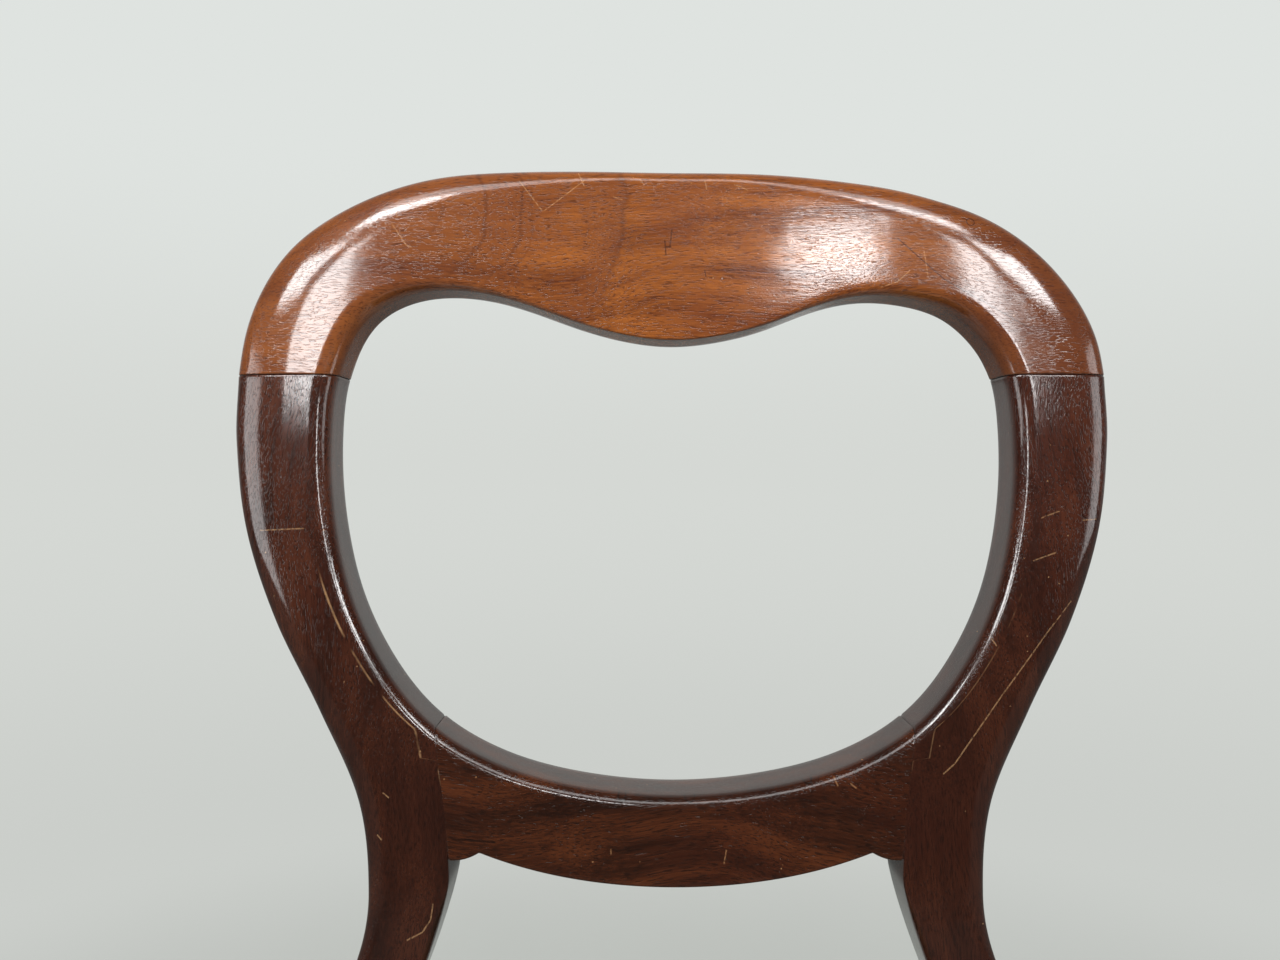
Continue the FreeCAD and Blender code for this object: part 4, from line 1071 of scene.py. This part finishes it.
# the lining: the cover's form, a little smaller all round
def buildCalico():
    f = seatForm
    inset, lowered = f["clearance"] + f["cover"] + 0.25, f["cover"] + 1.1
    rings = padRings(inset, lowered, f["ledge"] + f["cover"] + 0.05, f["calicoUnder"], False)
    piece = ringPiece("calico_lining", rings, calicoCloth, closed=False)
    capHole(piece, list(range(rings.shape[1])))
    giveWall(piece, f["calicoWall"])
    dress(piece, "drop_in_seat", "calico", "calico")


# the pad: the same form again, closed underneath
def buildStuffing():
    f = seatForm
    inset = f["clearance"] + f["cover"] + 0.9
    piece = ringPiece("stuffing_pad", padRings(inset, f["cover"] + 1.7, f["padFoot"], 30.0, True), wadding)
    dress(piece, "drop_in_seat", "curled_hair", "stuffing")


# the hessian mat on the webbing: the outline shrunk ring by ring, waving by the product of two sines
def buildHessian():
    edge = seatOutline(seatForm["clearance"] + seatForm["cover"] + 5.6)
    middle = np.array([0.0, edge[:, 1].mean()])
    rings = []
    for share in np.linspace(1, 0.02, 46):
        flat = middle + (edge - middle) * share
        wave = seatForm["matWave"] * np.sin(flat[:, 0] / 9) * np.sin(flat[:, 1] / 11)
        rings.append(np.column_stack([flat, seatForm["matHeight"] + wave]))
    rings = np.array(rings)
    rings[:, :, 1] += shiftBack
    piece = ringPiece("hessian_mat", rings * mm, hessianCloth, closed=False)
    around = rings.shape[1]
    capHole(piece, list(range(len(rings) * around - around, len(rings) * around)))
    giveWall(piece, seatForm["hessianWall"])
    dress(piece, "drop_in_seat", "hessian", "hessian")


strapForm = {
    "width": 50.0,
    "thickness": 1.4,
    "swing": 0.75,
    "plateau": 27.0,
    "ease": 12.0,
    "squareness": (1.35, 2.2),   # more makes a squarer section
    "pitches": (67.0, 78.0),   # between the long straps and between the cross straps
}


# a strap from one side of the frame to the other: a rounded rectangle carried along a path whose height
# goes over and under the straps it crosses, each step eased by a cosine
def buildStrap(node, alongY, crossings, firstOver):
    f = strapForm
    low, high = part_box(node)
    start, end = (low.y, high.y) if alongY else (low.x, high.x)
    place = np.linspace(start, end, 150) / mm
    height = np.zeros(len(place))
    over = firstOver
    for crossing in crossings:
        share = np.clip((f["plateau"] + f["ease"] - np.abs(place - crossing)) / f["ease"], 0, 1)
        height += (0.5 - 0.5 * np.cos(np.pi * share)) * (f["swing"] if over else -f["swing"])
        over = not over
    height += (low.z + high.z) / 2 / mm
    turn = np.linspace(0, 2 * np.pi, 41)[:-1]
    flatSides, flatFaces = f["squareness"]
    across = np.clip(np.cos(turn) * flatSides, -1, 1) * f["width"] / 2
    up = np.clip(np.sin(turn) * flatFaces, -1, 1) * f["thickness"] / 2
    middle = ((low.x + high.x) if alongY else (low.y + high.y)) / 2 / mm
    grid = np.zeros((len(place), len(turn), 3))
    lengthways, sideways = (1, 0) if alongY else (0, 1)
    grid[:, :, lengthways] = place[:, None]
    grid[:, :, sideways] = middle + across[None]
    grid[:, :, 2] = height[:, None] + up[None]
    strapPlace = np.zeros_like(grid)
    strapPlace[:, :, 0] = across[None]
    strapPlace[:, :, 1] = place[:, None]
    piece = ringPiece(node + "_strap", grid * mm, strapCloth, {"strapPlace": strapPlace})
    dress(piece, "drop_in_seat", "webbing", node)


# three straps each way, each one starting over or under its neighbour's opposite
def buildWebbing():
    longPitch, crossPitch = strapForm["pitches"]
    low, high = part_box("webbing_cross_2")
    crossMiddle = (low.y + high.y) / 2 / mm
    crossPlaces = [crossMiddle + step * crossPitch for step in (-1, 0, 1)]
    longPlaces = [step * longPitch for step in (-1, 0, 1)]
    for i in range(3):
        buildStrap("webbing_long_" + str(i + 1), True, crossPlaces, i % 2 == 0)
        buildStrap("webbing_cross_" + str(i + 1), False, longPlaces, i % 2 == 1)


buildWebbing()
buildHessian()
buildStuffing()
buildCalico()
buildCover()
print("drop-in seat made")


# Floor, light and background
studio = {
    "floor": "#b2b5b0",
    "speck": "#9ea19c",
    # near is darker, as painted shade at the foot of the backdrop; high is lighter, as painted light at the
    # backdrop's top, and also the colour of the light from behind
    "near": "#cbceca",
    "far": "#d5d8d4",
    "high": "#dfe3e0",
    "room": "#9aa0a0",
    "roomStrength": 0.25,
    "wallStrength": 0.75,
    "floorSize": 60.0,
}
lamps = [
    # name, place, aims at, width, height, watts
    ("ceilingPanel", (0.41, -1.79, 2.30), (0.084, 0.22, 0.83), 0.29, 0.17, 4.5),
    ("leftHigh", (-1.39, -1.23, 2.31), (-0.17, 0.22, 0.83), 0.6, 0.4, 17.0),
    ("leftNear", (-1.0, -1.75, 2.1), (-0.19, 0.2, 0.79), 0.2, 0.6, 8.0),
    ("rightNear", (1.0, -1.75, 2.1), (0.19, 0.2, 0.79), 0.2, 0.6, 8.0),
    ("leftTop", (-0.75, -0.95, 2.42), (-0.12, 0.22, 0.85), 0.6, 0.25, 13.0),
    ("rightHigh", (1.39, -1.23, 2.31), (0.17, 0.22, 0.83), 0.6, 0.4, 17.0),
    ("rightTop", (0.75, -0.95, 2.42), (0.12, 0.22, 0.85), 0.6, 0.25, 8.0),
    ("overhead", (0.0, -0.75, 2.45), (0.0, 0.2, 0.8), 1.9, 0.5, 16.0),
    ("leftWindow", (-2.03, -0.87, 1.22), (-0.18, 0.2, 0.69), 0.9, 1.0, 15.0),
    ("rightWindow", (2.2, -0.5, 1.25), (0.18, 0.2, 0.69), 0.7, 1.0, 8.0),
    ("behind", (0.6, 2.3, 2.1), (0.0, 0.1, 0.6), 1.2, 1.0, 14.0),
    ("frontFill", (-0.3, -2.6, 1.3), (0.0, 0.1, 0.6), 2.0, 1.6, 32.0),
]
fills = ("behind", "frontFill")  # soft fills that put no highlight on the polish
rayKinds = ("Is Camera Ray", "Is Glossy Ray", "Is Transmission Ray")


# Painted floor, matt: near the chair it takes light and shadow, and by two metres out it has turned
# into the backdrop's own pale grey, so that no edge shows. That glow is darker nearer the chair, as painted
# shade at the foot of the backdrop
def buildStudio(p):
    half = p["floorSize"] / 2
    points = np.array([(-half, -half, 0), (half, -half, 0), (half, half, 0), (-half, half, 0)])
    material, tree, shader = newMaterial("painted_floor_matt", {"Roughness": 0.8, "Specular IOR Level": 0.2})
    mesh = bpy.data.meshes.new("floor")
    mesh.from_pydata(points.tolist(), [], [(0, 1, 2, 3)])
    mesh.materials.append(material)
    floor = bpy.data.objects.new("floor", mesh)
    scene.collection.objects.link(floor)
    place = add(tree, "TexCoord", out="Object")
    speck = patches(tree, place, (1 / 3,) * 3, 3.0)  # here in metres
    tone = layColours(tree, p["floor"], [(p["speck"], 0.1, speck)])
    tree.links.new(tone, shader.inputs["Base Color"])
    away = add(tree, "VectorMath", (place,), "Value", operation="LENGTH")
    nearness = add(tree, "Math", (1.0, away), operation="DIVIDE")
    nearness = add(tree, "MapRange", (nearness, 0.0, 0.55), **smooth)
    backdrop = layColours(tree, p["far"], [(p["near"], nearness)])
    camera, glossy, through = [add(tree, "LightPath", out=ray) for ray in rayKinds]
    glowStrength = add(tree, "Math", (glossy, -0.7, 1.0), operation="MULTIPLY_ADD")
    glow = add(tree, "Emission", {"Color": backdrop, "Strength": glowStrength})
    seen = add(tree, "Math", (camera, glossy), operation="MAXIMUM")
    seen = add(tree, "Math", (seen, through), operation="MAXIMUM")
    share = add(tree, "MapRange", (away, 0.75, 1.7), **smooth)
    share = add(tree, "Math", (share, seen), operation="MULTIPLY")
    both = add(tree, "MixShader", (share, shader.outputs[0], glow))
    # seen from below, the floor lets the view through to the underside
    below = add(tree, "NewGeometry", out="Backfacing")
    both = add(tree, "MixShader", (below, both, add(tree, "BsdfTransparent")))
    output = [node for node in tree.nodes if node.type == "OUTPUT_MATERIAL"][0]
    tree.links.new(both, output.inputs[0])

    world = bpy.data.worlds.new("studio")
    scene.world = world
    world.use_nodes = True
    tree = world.node_tree
    tree.nodes.clear()
    ray = add(tree, "TexCoord", out="Generated")
    _, back, up = add(tree, "SeparateXYZ", (ray,)).node.outputs
    camera, _, through = [add(tree, "LightPath", out=ray) for ray in rayKinds]
    seen = add(tree, "Math", (camera, through), operation="MAXIMUM")
    # for camera rays the backdrop is painted lighter towards the top, as painted light falling from above
    sky = layColours(tree, p["far"], [(p["high"], add(tree, "MapRange", (up, 0.0, 0.35), **smooth))])
    wall = add(tree, "MapRange", (back, -0.1, 0.7), **smooth)
    strength = add(tree, "MapRange", {"Value": wall, "To Min": p["roomStrength"], "To Max": p["wallStrength"]})
    lit = add(tree, "Background", (layColours(tree, p["room"], [(p["high"], wall)]), strength))
    behind = add(tree, "Background", (sky, 1.0))
    add(tree, "OutputWorld", (add(tree, "MixShader", (seen, lit, behind)),))


# rectangular lamps, each turned to its aim
def buildLamps():
    for name, place, aim, width, height, watts in lamps:
        data = bpy.data.lights.new(name, "AREA")
        data.shape = "RECTANGLE"
        data.size, data.size_y = width, height
        data.energy = watts
        lamp = bpy.data.objects.new(name, data)
        lamp.location = place
        lamp.rotation_euler = (Vector(aim) - Vector(place)).to_track_quat("-Z", "Y").to_euler()
        lamp.visible_glossy = name not in fills
        scene.collection.objects.link(lamp)


buildStudio(studio)
buildLamps()
print("studio lit")
